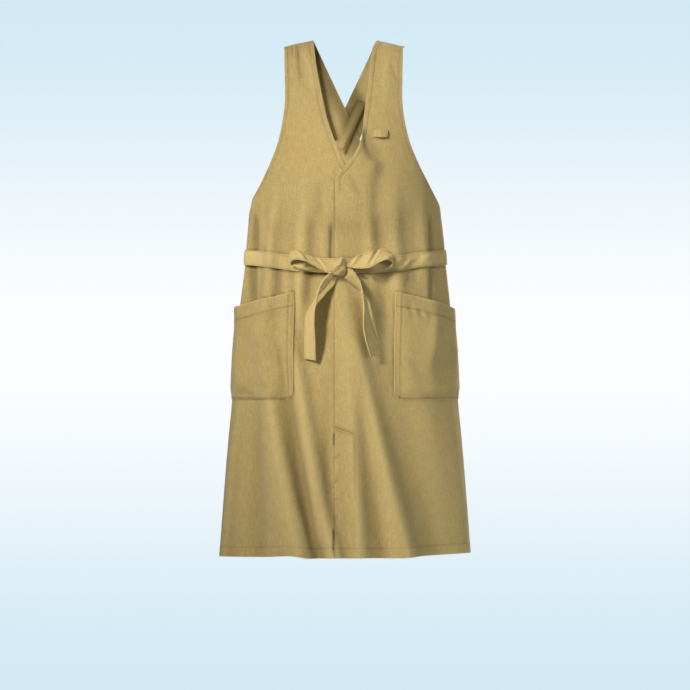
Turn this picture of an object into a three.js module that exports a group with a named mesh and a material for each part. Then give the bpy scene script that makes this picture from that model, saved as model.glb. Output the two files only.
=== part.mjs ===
// A cross back apron in its worn form. Two cloth halves lap over each other at the centre
// front, two straps cross at the back, and a waist belt is tied in a bow at the front.
// Millimetres, +Z up, the front faces -Y, and left and right are as seen from the front.
// The origin lies on the shoulder line, midway between the shoulders.
import * as THREE from 'three';

// Driving dimensions of the body
const LENGTH = 979; // shoulder line to hem
const HEM_HALF_WIDTH = 237.5;
const HEM_FRONT_DEPTH = 147; // from the side line forward
const HEM_BACK_DEPTH = 140; // from the side line backward
const NECK_HALF_WIDTH = 60;
const NECK_DEPTH = 240;
const SHOULDER_HALF_WIDTH = 115;
const SHOULDER_DROP = 13; // neck point to arm point
const ARMHOLE_DEPTH = 321;
const OVERLAP = 36; // how far the two halves lap at the centre front
const BACK_TOP_DEPTH = 392; // upper corner of the back edge
const BACK_GAP_TOP = 156; // opening between the back edges, at their upper corners
const BACK_GAP_HEM = 124;

// Cloth
const CLOTH = 1.2;
const LAYER_GAP = 0.8; // between cloth that lies on cloth
const SEAM_GAP = 0.3; // between pieces that are sewn together
const FOLD_HEIGHT = 15; // highest fold, at the hem
const GATHER_HEIGHT = 3; // highest gather, above the belt

// Straps at the back
const STRAP_WIDTH = 46; // where they cross
const STRAP_CROSSING = 125; // depth at which their neck edges cross
const STRAP_END = 400; // depth of their sewn ends
const STRAP_BUNCH = 0.24; // how much narrower the left strap is inside the keeper
const KEEPER_WIDTH = 13.5;
const KEEPER_LENGTH = 103;
const KEEPER_TOP = 115; // depth of its upper end

// Pen loop
const PEN_LOOP_WIDTH = 31;
const PEN_LOOP_HEIGHT = 13.6;
const PEN_LOOP_DEPTH = 172; // depth of its upper edge
const PEN_LOOP_INSET = 51; // from the centre line to its inner end
const PEN_LOOP_PROUD = 3; // how far its middle stands off the cloth

// Pockets
const POCKET_DEPTH = 478; // depth of the upper inner corner
const POCKET_HEIGHT = 202;
const POCKET_INSET = 94; // from the centre line to the inner edge
const POCKET_SLANT = 34; // how much lower the mouth is at the side
const POCKET_BULGE = 2.5;

// Belt and bow
const BELT_WIDTH = 28;
const BELT_THICKNESS = 1.8;
const BELT_DEPTH = 409; // depth of its middle, at the sides
const BELT_SAG = 20; // how much lower it is at the knot
const KNOT_WIDTH = 36;
const KNOT_HEIGHT = 38;
const KNOT_THICKNESS = 22;
const KNOT_OFFSET = 6; // from the centre line to the left
const LOOP_REACH = 96; // knot to the tip of a loop
const TAIL_LENGTH = 175; // knot to the end of the longer tail
const TAIL_STAND_OFF = 16;

// Facets
const FRONT_COLUMNS = 20;
const BACK_COLUMNS = 8;
const NECK_ROWS = 8;
const ARMHOLE_ROWS = 10;
const WAIST_ROW = 13;
const HEM_ROW = 31;
const SIDE_TURN = THREE.MathUtils.degToRad(84); // where the front facets meet the back ones

// Sections of the body. Depth is a share of LENGTH, half a share of HEM_HALF_WIDTH, front
// and back are shares of the two hem depths.
const SECTIONS = [
  { depth: 0.031, half: 0.632, front: 0.286, back: 0.321 },
  { depth: 0.061, half: 0.707, front: 0.422, back: 0.457 },
  { depth: 0.153, half: 0.707, front: 0.653, back: 0.643 },
  { depth: 0.204, half: 0.716, front: 0.735, back: 0.68 },
  { depth: 0.255, half: 0.741, front: 0.789, back: 0.69 },
  { depth: 0.328, half: 0.758, front: 0.803, back: 0.657 },
  { depth: 0.386, half: 0.779, front: 0.748, back: 0.621 },
  { depth: 0.44, half: 0.796, front: 0.755, back: 0.607 },
  { depth: 0.503, half: 0.829, front: 0.803, back: 0.68 },
  { depth: 0.596, half: 0.872, front: 0.864, back: 0.786 },
  { depth: 0.688, half: 0.895, front: 0.905, back: 0.857 },
  { depth: 0.782, half: 0.931, front: 0.939, back: 0.914 },
  { depth: 0.875, half: 0.962, front: 0.966, back: 0.957 },
  { depth: 1, half: 1, front: 1, back: 1 },
];
const RIDGE = { front: 0.054, back: 0.057 }; // how round the shoulder line is, as such shares
const ARM_POINT = { front: 0.17, back: 0.18 };

// Folds of the skirt. Waist and hem are the crest's place in degrees round the body, width
// is its half width in degrees at the hem, height a share of FOLD_HEIGHT, and start the
// share of the skirt's length at which it begins to show.
const FOLDS = [
  { waist: -66, hem: -73, width: 8, height: 0.5, start: 0.15 },
  { waist: -60, hem: -18, width: 5.5, height: 0.6, start: 0.4 },
  { waist: -37, hem: -7, width: 4.5, height: 0.55, start: 0.1 },
  { waist: -2, hem: 7, width: 4.5, height: 0.55, start: 0.45 },
  { waist: -5, hem: 29, width: 8, height: 1, start: 0 },
  { waist: 63, hem: 75, width: 9, height: 0.6, start: 0.1 },
  { waist: 112, hem: 116, width: 11, height: 0.5, start: 0.2 },
  { waist: 140, hem: 146, width: 9, height: 0.45, start: 0.1 },
  { waist: -112, hem: -118, width: 12, height: 0.5, start: 0.1 },
  { waist: -142, hem: -148, width: 9, height: 0.45, start: 0.2 },
];

// Gathers above and at the belt. Turn is the crest's place in degrees, width its half
// width, height a share of GATHER_HEIGHT.
const GATHERS = [
  { turn: -72, width: 7, height: 0.8 },
  { turn: -47, width: 6, height: 1 },
  { turn: -25, width: 5, height: 0.9 },
  { turn: 14.5, width: 5, height: 0.8 },
  { turn: 31, width: 5.5, height: 1 },
  { turn: 55, width: 7, height: 1 },
  { turn: 78, width: 6, height: 0.7 },
];

// The neckline of each half. Depth is a share of NECK_DEPTH, across of NECK_HALF_WIDTH.
const NECKLINE_LEFT = [
  { depth: 0, across: 1 },
  { depth: 0.2, across: 0.905 },
  { depth: 0.39, across: 0.77 },
  { depth: 0.6, across: 0.595 },
  { depth: 0.78, across: 0.355 },
  { depth: 1, across: 0 },
];
const NECKLINE_RIGHT = [
  { depth: 0, across: 1 },
  { depth: 0.07, across: 0.86 },
  { depth: 0.32, across: 0.745 },
  { depth: 0.58, across: 0.605 },
  { depth: 0.77, across: 0.52 },
  { depth: 0.85, across: 0.417 },
  { depth: 1, across: 0.03 },
];

// The armhole. Depth is a share of the way down it, across of the way from the arm point
// out to the side line.
const ARMHOLE = [
  { depth: 0, across: 0 },
  { depth: 0.32, across: -0.03 },
  { depth: 0.445, across: 0.03 },
  { depth: 0.57, across: 0.15 },
  { depth: 0.69, across: 0.35 },
  { depth: 0.815, across: 0.62 },
  { depth: 0.94, across: 0.9 },
  { depth: 1, across: 1 },
];

// The top edge of the back. Along is a share of the way from the side line to the back
// edge, depth of the way down from the underarm to the corner.
const BACK_TOP = [
  { along: 0, depth: 0 },
  { along: 0.25, depth: 0.5 },
  { along: 0.6, depth: 0.86 },
  { along: 1, depth: 1 },
];

// How the belt sags towards the knot, by degrees from the centre front.
const BELT_LINE = [
  { turn: 0, sag: 1 },
  { turn: 12, sag: 0.95 },
  { turn: 33, sag: 0.68 },
  { turn: 50, sag: 0.35 },
  { turn: 90, sag: 0.1 },
  { turn: 180, sag: 0 },
];

// The loops of the bow, out from the knot to the tip and back. Out and rise are shares of
// LOOP_REACH, off of KNOT_THICKNESS, width of BELT_WIDTH, and lean is in degrees.
const LOOP = [
  { out: 0.42, rise: 0.06, off: 0.85, width: 0.8, lean: 10 },
  { out: 0.57, rise: 0.11, off: 0.95, width: 0.9, lean: 15 },
  { out: 0.75, rise: 0.16, off: 1, width: 0.95, lean: 18 },
  { out: 0.93, rise: 0.17, off: 0.86, width: 0.95, lean: 10 },
  { out: 1, rise: 0.13, off: 0.6, width: 0.95, lean: 0 },
  { out: 0.92, rise: 0.07, off: 0.34, width: 0.95, lean: -8 },
  { out: 0.7, rise: 0.03, off: 0.22, width: 0.95, lean: -10 },
  { out: 0.45, rise: 0, off: 0.2, width: 0.8, lean: -6 },
];
const ROOT_WIDTH = 0.6; // of a loop or tail where it leaves the knot, as a share of BELT_WIDTH
const ROOT_RUN = 0.2; // how far it runs straight out of the knot, as a share of BELT_WIDTH

// The tails. Out and drop are shares of TAIL_LENGTH from the middle of the knot, off of
// TAIL_STAND_OFF, width of BELT_WIDTH, and turn is how far the face looks outwards.
const TAIL_LEFT = [
  { out: 0.2, drop: 0.2, off: 1.3, width: 0.8, turn: 112 },
  { out: 0.247, drop: 0.264, off: 1.25, width: 0.95, turn: 103 },
  { out: 0.277, drop: 0.331, off: 1.2, width: 1, turn: 90 },
  { out: 0.311, drop: 0.417, off: 1.1, width: 1, turn: 68 },
  { out: 0.345, drop: 0.543, off: 1, width: 1, turn: 50 },
  { out: 0.347, drop: 0.645, off: 1, width: 1, turn: 44 },
  { out: 0.345, drop: 0.77, off: 1, width: 1, turn: 41 },
  { out: 0.342, drop: 0.89, off: 1, width: 1, turn: 40 },
  { out: 0.342, drop: 1, off: 1, width: 1, turn: 40 },
];
const TAIL_RIGHT = [
  { out: 0.14, drop: 0.14, off: 1.45, width: 0.85, turn: 135 },
  { out: 0.174, drop: 0.185, off: 1.4, width: 0.95, turn: 118 },
  { out: 0.211, drop: 0.245, off: 1.4, width: 1, turn: 92 },
  { out: 0.246, drop: 0.347, off: 1.3, width: 1, turn: 79 },
  { out: 0.261, drop: 0.465, off: 1.2, width: 1, turn: 71 },
  { out: 0.278, drop: 0.623, off: 1.1, width: 1, turn: 54 },
  { out: 0.317, drop: 0.77, off: 1.05, width: 1, turn: 38 },
  { out: 0.341, drop: 0.846, off: 1, width: 1, turn: 34 },
  { out: 0.368, drop: 0.948, off: 1, width: 1, turn: 40 },
];

const LEFT = { sign: -1, neckline: NECKLINE_LEFT, shoulder: 1, bunch: STRAP_BUNCH };
const RIGHT = { sign: 1, neckline: NECKLINE_RIGHT, shoulder: 0.955, bunch: 0 };

const lerp = THREE.MathUtils.lerp;
const smooth = THREE.MathUtils.smoothstep;
const radians = THREE.MathUtils.degToRad;

// A smooth curve through the rows of a table, which never swings past them.
function curveThrough(places, values) {
  const steps = places.slice(1).map((place, i) => (values[i + 1] - values[i]) / (place - places[i]));
  const slopes = values.map((value, i) => {
    const before = steps[Math.max(i - 1, 0)];
    const after = steps[Math.min(i, steps.length - 1)];
    return before * after > 0 ? (2 * before * after) / (before + after) : 0;
  });
  return (place) => {
    let i = 0;
    while (i < places.length - 2 && place > places[i + 1]) i += 1;
    const span = places[i + 1] - places[i];
    const t = THREE.MathUtils.clamp((place - places[i]) / span, 0, 1);
    const start = (1 + 2 * t) * (1 - t) ** 2 * values[i] + t * (1 - t) ** 2 * span * slopes[i];
    const end = t ** 2 * (3 - 2 * t) * values[i + 1] + t ** 2 * (t - 1) * span * slopes[i + 1];
    return start + end;
  };
}

// Half width and front and back depth of the body at a depth below the shoulder line.
const DEPTHS = [0, SHOULDER_DROP, ...SECTIONS.map((row) => row.depth * LENGTH)];
const halfWidth = curveThrough(DEPTHS, [
  NECK_HALF_WIDTH,
  SHOULDER_HALF_WIDTH,
  ...SECTIONS.map((row) => row.half * HEM_HALF_WIDTH),
]);
const frontDepth = curveThrough(
  DEPTHS,
  [RIDGE, ARM_POINT, ...SECTIONS].map((row) => row.front * HEM_FRONT_DEPTH),
);
const backDepth = curveThrough(
  DEPTHS,
  [RIDGE, ARM_POINT, ...SECTIONS].map((row) => row.back * HEM_BACK_DEPTH),
);
const beltSag = curveThrough(
  BELT_LINE.map((row) => row.turn),
  BELT_LINE.map((row) => row.sag),
);

const bump = (distance, width) => Math.exp(-((distance / width) ** 2));

// How far the folds and gathers lift the cloth off the plain oval section.
function foldLift(turn, depth) {
  const degrees = THREE.MathUtils.radToDeg(turn);
  const down = (depth - BELT_DEPTH) / (LENGTH - BELT_DEPTH);
  const gathered = smooth(depth, NECK_DEPTH, BELT_DEPTH) * (1 - smooth(down, 0.03, 0.4));
  let lift = 0;
  for (const row of GATHERS) {
    lift += GATHER_HEIGHT * row.height * gathered * bump(degrees - row.turn, row.width);
  }
  if (down <= 0) return lift;
  for (const row of FOLDS) {
    const crest = lerp(row.waist, row.hem, down);
    const risen = smooth(down, row.start, 1) ** 0.7;
    lift += FOLD_HEIGHT * row.height * risen * bump(degrees - crest, row.width);
  }
  return lift;
}

// A point of the body's inner face. Turn is the angle round the body from the centre
// front, positive to the right, and depth is measured down from the shoulder line.
function innerPoint(turn, depth) {
  const half = halfWidth(depth);
  const reach = Math.cos(turn) >= 0 ? frontDepth(depth) : backDepth(depth);
  const outward = new THREE.Vector2(reach * Math.sin(turn), -half * Math.cos(turn)).normalize();
  const lift = foldLift(turn, depth);
  return new THREE.Vector3(
    half * Math.sin(turn) + outward.x * lift,
    -reach * Math.cos(turn) + outward.y * lift,
    -depth,
  );
}

// The outward direction of the cloth, from the slope of its face.
function outwardAt(turn, depth) {
  const side = 0.004;
  const step = 0.5;
  const above = Math.max(depth - step, 0);
  const round = innerPoint(turn + side, depth).sub(innerPoint(turn - side, depth));
  const down = innerPoint(turn, depth + step).sub(innerPoint(turn, above));
  return down.cross(round).normalize();
}

// A point at a height above the inner face.
function layerPoint(turn, depth, height) {
  return innerPoint(turn, depth).addScaledVector(outwardAt(turn, depth), height);
}

const frontTurn = (across, depth) => Math.asin(Math.min(across / halfWidth(depth), 1));
const backTurn = (across, depth) => Math.PI - frontTurn(across, depth);

// The right half lies on the left one where they lap, and eases down beside the lap.
function lapLift(turn, depth) {
  const across = halfWidth(depth) * Math.sin(turn);
  return (CLOTH + LAYER_GAP) * (1 - smooth(across, 0.5 * OVERLAP, 1.3 * OVERLAP));
}

// Closes two matching sheets of points into one solid. The quads index both sheets, and
// every edge that only one quad uses gets a wall.
function closedSheet(outer, inner, quads) {
  const triangles = quads.flatMap(([a, b, c, d]) => [[a, b, c], [a, c, d]]);
  const edges = new Set(triangles.flatMap(([a, b, c]) => [`${a},${b}`, `${b},${c}`, `${c},${a}`]));
  const count = outer.length;
  const faces = [];
  for (const [a, b, c] of triangles) {
    faces.push(a, b, c, c + count, b + count, a + count);
    for (const [from, to] of [[a, b], [b, c], [c, a]]) {
      if (edges.has(`${to},${from}`)) continue;
      faces.push(to, from, from + count, to, from + count, to + count);
    }
  }
  const geometry = new THREE.BufferGeometry();
  geometry.setAttribute(
    'position',
    new THREE.Float32BufferAttribute([...outer, ...inner].flatMap((p) => p.toArray()), 3),
  );
  geometry.setIndex(faces);
  geometry.computeVertexNormals();
  return geometry;
}

// Quads of a grid of rows and columns whose outer face looks along the outward normal.
function gridQuads(rows, columns, index, flipped) {
  const quads = [];
  for (let row = 0; row < rows; row += 1) {
    for (let column = 0; column < columns; column += 1) {
      const quad = [
        index(row, column),
        index(row + 1, column),
        index(row + 1, column + 1),
        index(row, column + 1),
      ];
      quads.push(flipped ? quad.reverse() : quad);
    }
  }
  return quads;
}

// A sheet over a plain grid, from a function that gives both faces of each point.
function gridSheet(rows, columns, pointAt, flipped = false) {
  const outer = [];
  const inner = [];
  for (let row = 0; row <= rows; row += 1) {
    for (let column = 0; column <= columns; column += 1) {
      const faces = pointAt(row / rows, column / columns);
      outer.push(faces.outer);
      inner.push(faces.inner);
    }
  }
  const index = (row, column) => row * (columns + 1) + column;
  return closedSheet(outer, inner, gridQuads(rows, columns, index, flipped));
}

// Both faces of cloth of a given thickness whose inner face is at a height.
function clothAt(turn, depth, height, thickness = CLOTH) {
  return {
    outer: layerPoint(turn, depth, height + thickness),
    inner: layerPoint(turn, depth, height),
  };
}

// One half of the body: a front grid from the shoulder to the hem, and a back grid that
// shares its side column.
function bodyHalf(side) {
  const { sign } = side;
  const lapEnd = NECK_DEPTH + 0.75 * OVERLAP;
  const neckAcross = curveThrough(
    [...side.neckline.map((row) => row.depth * NECK_DEPTH), lapEnd, LENGTH],
    [...side.neckline.map((row) => row.across * NECK_HALF_WIDTH), -OVERLAP / 2, -OVERLAP / 2],
  );
  const sideAcross = halfWidth(ARMHOLE_DEPTH) * Math.sin(SIDE_TURN);
  const armAcross = SHOULDER_HALF_WIDTH * side.shoulder;
  const armDepth = SHOULDER_DROP * side.shoulder;
  const armholeAcross = curveThrough(
    ARMHOLE.map((row) => lerp(armDepth, ARMHOLE_DEPTH, row.depth)),
    ARMHOLE.map((row) => lerp(armAcross, sideAcross, row.across)),
  );
  const neckDepthAt = (row) => {
    if (row <= NECK_ROWS) return NECK_DEPTH * (row / NECK_ROWS) ** 1.3;
    if (row === NECK_ROWS + 1) return lapEnd;
    if (row <= WAIST_ROW) {
      return lerp(lapEnd, BELT_DEPTH, (row - NECK_ROWS - 1) / (WAIST_ROW - NECK_ROWS - 1));
    }
    return lerp(BELT_DEPTH, LENGTH, (row - WAIST_ROW) / (HEM_ROW - WAIST_ROW));
  };
  const sideDepthAt = (row) => {
    if (row <= ARMHOLE_ROWS) return lerp(armDepth, ARMHOLE_DEPTH, (row / ARMHOLE_ROWS) ** 1.1);
    if (row <= WAIST_ROW) {
      return lerp(ARMHOLE_DEPTH, BELT_DEPTH, (row - ARMHOLE_ROWS) / (WAIST_ROW - ARMHOLE_ROWS));
    }
    return lerp(BELT_DEPTH, LENGTH, (row - WAIST_ROW) / (HEM_ROW - WAIST_ROW));
  };
  const outer = [];
  const inner = [];
  const addPoint = (turn, depth, shift = 0) => {
    const lift = sign > 0 ? lapLift(turn, depth) : 0;
    const faces = clothAt(sign * turn, depth, lift);
    for (const point of [faces.outer, faces.inner]) point.y -= shift;
    outer.push(faces.outer);
    inner.push(faces.inner);
  };
  for (let row = 0; row <= HEM_ROW; row += 1) {
    const neckDepth = neckDepthAt(row);
    const sideDepth = sideDepthAt(row);
    const atShoulder = row === 0;
    const inTurn = atShoulder ? Math.PI / 2 : frontTurn(neckAcross(neckDepth), neckDepth);
    let outTurn = atShoulder ? Math.PI / 2 : frontTurn(armholeAcross(sideDepth), sideDepth);
    if (row >= ARMHOLE_ROWS) outTurn = SIDE_TURN;
    for (let column = 0; column <= FRONT_COLUMNS; column += 1) {
      const share = column / FRONT_COLUMNS;
      addPoint(
        lerp(inTurn, outTurn, share),
        lerp(neckDepth, sideDepth, share),
        atShoulder ? SEAM_GAP / 2 : 0,
      );
    }
  }
  const frontIndex = (row, column) => row * (FRONT_COLUMNS + 1) + column;
  const backStart = outer.length;
  const topDrop = curveThrough(
    BACK_TOP.map((row) => row.along),
    BACK_TOP.map((row) => row.depth),
  );
  for (let row = ARMHOLE_ROWS; row <= HEM_ROW; row += 1) {
    const down = (sideDepthAt(row) - ARMHOLE_DEPTH) / (LENGTH - ARMHOLE_DEPTH);
    for (let column = 1; column <= BACK_COLUMNS; column += 1) {
      const along = column / BACK_COLUMNS;
      const top = lerp(ARMHOLE_DEPTH, BACK_TOP_DEPTH, topDrop(along));
      const depth = lerp(top, LENGTH, down);
      const edgeDown = Math.max((depth - BACK_TOP_DEPTH) / (LENGTH - BACK_TOP_DEPTH), 0);
      const edgeAcross = lerp(BACK_GAP_TOP, BACK_GAP_HEM, edgeDown) / 2;
      addPoint(lerp(SIDE_TURN, backTurn(edgeAcross, depth), along), depth);
    }
  }
  const backIndex = (row, column) =>
    column === 0
      ? frontIndex(ARMHOLE_ROWS + row, FRONT_COLUMNS)
      : backStart + row * BACK_COLUMNS + column - 1;
  const quads = [
    ...gridQuads(HEM_ROW, FRONT_COLUMNS, frontIndex, sign < 0),
    ...gridQuads(HEM_ROW - ARMHOLE_ROWS, BACK_COLUMNS, backIndex, sign < 0),
  ];
  return closedSheet(outer, inner, quads);
}

// A shoulder strap's place: along runs from the shoulder seam to the sewn end, across from
// the neck edge to the arm edge. It gives the turn round the body and the depth.
const STRAP_SLOPE = Math.atan(NECK_HALF_WIDTH / STRAP_CROSSING);
function strapPlace(side, along, across) {
  const neckDepth = STRAP_END * along ** 1.2;
  const settled = smooth(neckDepth, 0, 0.8 * STRAP_CROSSING);
  const armAcross = SHOULDER_HALF_WIDTH * side.shoulder - NECK_HALF_WIDTH;
  const armDrop = SHOULDER_DROP * side.shoulder;
  const bunched = 1 - side.bunch * bump(neckDepth - KEEPER_TOP - 0.4 * KEEPER_LENGTH, 0.7 * KEEPER_LENGTH);
  const width = STRAP_WIDTH * bunched;
  const over = across * lerp(armAcross, width * Math.cos(STRAP_SLOPE), settled);
  const drop = across * lerp(armDrop, width * Math.sin(STRAP_SLOPE), settled);
  const depth = neckDepth + drop;
  if (along === 0) return { turn: side.sign * (Math.PI / 2), depth };
  const place = NECK_HALF_WIDTH * (1 - neckDepth / STRAP_CROSSING) + over;
  return { turn: side.sign * backTurn(place, depth), depth };
}

// The left strap dives inside the right one where they cross, and both end inside the
// back of the body.
const STRAP_INSIDE = -(CLOTH + LAYER_GAP);
function strapHeight(side, depth) {
  if (side.sign < 0) return STRAP_INSIDE * smooth(depth, 0.2 * STRAP_CROSSING, STRAP_CROSSING);
  return STRAP_INSIDE * smooth(depth, 2.1 * STRAP_CROSSING, 2.7 * STRAP_CROSSING);
}

function strap(side) {
  return gridSheet(
    22,
    4,
    (along, across) => {
      const { turn, depth } = strapPlace(side, along, across);
      const faces = clothAt(turn, depth, strapHeight(side, depth));
      const shift = along === 0 ? SEAM_GAP / 2 : 0;
      for (const point of [faces.outer, faces.inner]) point.y += shift;
      return faces;
    },
    side.sign > 0,
  );
}

// The keeper runs down the middle of the right strap, on its inner side, and bows away
// from it to let the left strap through.
function strapKeeper() {
  const spanOf = (depth) => ((depth - 0.5 * STRAP_WIDTH * Math.sin(STRAP_SLOPE)) / STRAP_END) ** (1 / 1.2);
  const start = spanOf(KEEPER_TOP);
  const end = spanOf(KEEPER_TOP + KEEPER_LENGTH * Math.cos(STRAP_SLOPE));
  const half = (0.5 * KEEPER_WIDTH) / STRAP_WIDTH;
  return gridSheet(
    10,
    2,
    (along, across) => {
      const { turn, depth } = strapPlace(RIGHT, lerp(start, end, along), lerp(0.5 - half, 0.5 + half, across));
      const bow = smooth(along, 0.03, 0.28) * (1 - smooth(along, 0.89, 0.99));
      const height = lerp(-SEAM_GAP, STRAP_INSIDE - LAYER_GAP, bow) - CLOTH;
      return clothAt(turn, depth, height);
    },
    true,
  );
}

function penLoop() {
  return gridSheet(2, 8, (down, along) => {
    const depth = PEN_LOOP_DEPTH + PEN_LOOP_HEIGHT * down;
    const turn = frontTurn(PEN_LOOP_INSET + PEN_LOOP_WIDTH * along, depth);
    const rise = smooth(along, 0.05, 0.35) * (1 - smooth(along, 0.65, 0.95));
    const height = CLOTH + lerp(SEAM_GAP, PEN_LOOP_PROUD, rise);
    return clothAt(turn, depth, height);
  });
}

// A patch pocket with a slanted mouth, which goes round the side of the body.
function pocket(side) {
  const outEnd = radians(97);
  return gridSheet(
    8,
    12,
    (down, along) => {
      const mouth = POCKET_DEPTH + POCKET_SLANT * smooth(along, 0, 1.2);
      const depth = lerp(mouth, POCKET_DEPTH + POCKET_HEIGHT, down);
      const turn = lerp(frontTurn(POCKET_INSET, depth), outEnd, along);
      const bulge = POCKET_BULGE * Math.sin(Math.PI * along) * Math.cos(0.5 * Math.PI * down);
      return clothAt(side.sign * turn, depth, CLOTH + LAYER_GAP + bulge);
    },
    side.sign < 0,
  );
}

// The belt lies on the body and on the lap at the centre front. Its two ends meet behind
// the knot.
const KNOT_TURN = -Math.asin(KNOT_OFFSET / halfWidth(BELT_DEPTH + BELT_SAG));
function beltDepth(turn) {
  return BELT_DEPTH + BELT_SAG * beltSag(Math.abs(THREE.MathUtils.radToDeg(turn)));
}
function beltHeight(turn, depth) {
  const across = halfWidth(depth) * Math.sin(turn);
  const onLap = lapLift(Math.max(turn, 0), depth) * smooth(across, -1.1 * OVERLAP, -0.55 * OVERLAP);
  const wrapped = Math.cos(turn) > 0 ? onLap : 0;
  return CLOTH + LAYER_GAP + wrapped;
}
function waistBelt() {
  const endGap = radians(0.5);
  return gridSheet(2, 84, (down, along) => {
    const turn = KNOT_TURN + lerp(endGap, 2 * Math.PI - endGap, along);
    const wrapped = turn > Math.PI ? turn - 2 * Math.PI : turn;
    const depth = beltDepth(wrapped) + BELT_WIDTH * (down - 0.5);
    return clothAt(wrapped, depth, beltHeight(wrapped, beltDepth(wrapped)), BELT_THICKNESS);
  });
}

// The knot: a rounded lump with a ridge across it, which sits on the belt.
const KNOT_DEPTH = BELT_DEPTH + BELT_SAG;
const KNOT_SEAT = (() => {
  const faces = [-1, 0, 1].map((step) => {
    const turn = KNOT_TURN + (step * KNOT_WIDTH) / (4 * halfWidth(KNOT_DEPTH));
    return layerPoint(turn, KNOT_DEPTH, beltHeight(turn, KNOT_DEPTH) + BELT_THICKNESS).y;
  });
  return Math.min(...faces) - SEAM_GAP;
})();
const KNOT_CENTRE = new THREE.Vector3(-KNOT_OFFSET, KNOT_SEAT - KNOT_THICKNESS / 2, -KNOT_DEPTH);
function knotPoint(direction) {
  const ridge = 1 + 0.1 * bump(direction.x - direction.z * 0.9, 0.45) * Math.max(-direction.y, 0);
  return new THREE.Vector3(
    direction.x * 0.5 * KNOT_WIDTH * ridge,
    direction.y * 0.5 * KNOT_THICKNESS,
    direction.z * 0.5 * KNOT_HEIGHT * ridge,
  ).add(KNOT_CENTRE);
}
function bowKnot() {
  const geometry = new THREE.IcosahedronGeometry(1, 4);
  const place = geometry.getAttribute('position');
  for (let i = 0; i < place.count; i += 1) {
    const point = knotPoint(new THREE.Vector3().fromBufferAttribute(place, i));
    place.setXYZ(i, point.x, point.y, point.z);
  }
  geometry.computeVertexNormals();
  return geometry;
}

// A ribbon of the belt's cloth along a path, with its width laid along a direction at
// each station.
function ribbon(stations, steps) {
  const path = new THREE.CatmullRomCurve3(stations.map((station) => station.place));
  const last = stations.length - 1;
  return gridSheet(
    steps,
    2,
    (along, across) => {
      const place = path.getPoint(along);
      const i = Math.min(Math.floor(along * last), last - 1);
      const share = along * last - i;
      const wide = stations[i].wide.clone().lerp(stations[i + 1].wide, share);
      const tangent = path.getTangent(along);
      wide.addScaledVector(tangent, -wide.dot(tangent)).normalize();
      const width = lerp(stations[i].width, stations[i + 1].width, share);
      const face = tangent.clone().cross(wide);
      const middle = place.addScaledVector(wide, width * (across - 0.5));
      return {
        outer: middle.clone().addScaledVector(face, BELT_THICKNESS / 2),
        inner: middle.clone().addScaledVector(face, -BELT_THICKNESS / 2),
      };
    },
  );
}

// The two stations where a ribbon leaves the knot square to its face, at a side given as a
// direction from the knot's middle.
function rootStations(direction, wide) {
  const place = knotPoint(direction);
  const out = direction
    .clone()
    .divide(new THREE.Vector3(KNOT_WIDTH, KNOT_THICKNESS, KNOT_HEIGHT))
    .normalize();
  return [SEAM_GAP, SEAM_GAP + ROOT_RUN * BELT_WIDTH].map((run) => ({
    place: place.clone().addScaledVector(out, run),
    wide,
    width: ROOT_WIDTH * BELT_WIDTH,
  }));
}

function bowLoop(side) {
  const upright = new THREE.Vector3(0, 0, 1);
  const leaving = new THREE.Vector3(side.sign * 0.86, -0.48, 0.17).normalize();
  const returning = new THREE.Vector3(side.sign * 0.9, 0.4, -0.1).normalize();
  const bend = LOOP.map((row) => ({
    place: new THREE.Vector3(
      KNOT_CENTRE.x + side.sign * row.out * LOOP_REACH,
      KNOT_SEAT - row.off * KNOT_THICKNESS,
      KNOT_CENTRE.z + row.rise * LOOP_REACH,
    ),
    wide: new THREE.Vector3(0, Math.sin(radians(row.lean)), Math.cos(radians(row.lean))),
    width: row.width * BELT_WIDTH,
  }));
  const stations = [
    ...rootStations(leaving, upright),
    ...bend,
    ...rootStations(returning, upright).reverse(),
  ];
  return ribbon(stations, 30);
}

function tieTail(side, table, leaving) {
  const hang = table.map((row) => {
    const depth = KNOT_DEPTH + row.drop * TAIL_LENGTH;
    const turn = radians(row.turn);
    return {
      place: new THREE.Vector3(
        KNOT_CENTRE.x + side.sign * row.out * TAIL_LENGTH,
        -frontDepth(depth) - 2 * (CLOTH + LAYER_GAP) - row.off * TAIL_STAND_OFF,
        -depth,
      ),
      wide: new THREE.Vector3(-side.sign * Math.cos(turn), -Math.sin(turn), 0),
      width: row.width * BELT_WIDTH,
    };
  });
  const root = rootStations(leaving.normalize(), hang[0].wide);
  return ribbon([...root, ...hang], 26);
}

const CLOTH_LOOK = { color: 0xa99560, roughness: 0.92, metalness: 0 };
const TIE_LOOK = { color: 0xb09c68, roughness: 0.92, metalness: 0 };

const pieces = [
  ['body_left', bodyHalf(LEFT), CLOTH_LOOK],
  ['body_right', bodyHalf(RIGHT), CLOTH_LOOK],
  ['strap_left', strap(LEFT), CLOTH_LOOK],
  ['strap_right', strap(RIGHT), CLOTH_LOOK],
  ['strap_keeper', strapKeeper(), TIE_LOOK],
  ['pen_loop', penLoop(), TIE_LOOK],
  ['pocket_left', pocket(LEFT), CLOTH_LOOK],
  ['pocket_right', pocket(RIGHT), CLOTH_LOOK],
  ['waist_belt', waistBelt(), TIE_LOOK],
  ['bow_knot', bowKnot(), TIE_LOOK],
  ['bow_loop_left', bowLoop(LEFT), TIE_LOOK],
  ['bow_loop_right', bowLoop(RIGHT), TIE_LOOK],
  ['tie_tail_left', tieTail(LEFT, TAIL_LEFT, new THREE.Vector3(-0.6, -0.35, -0.7)), TIE_LOOK],
  ['tie_tail_right', tieTail(RIGHT, TAIL_RIGHT, new THREE.Vector3(0.6, -0.5, -0.6)), TIE_LOOK],
];

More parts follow.
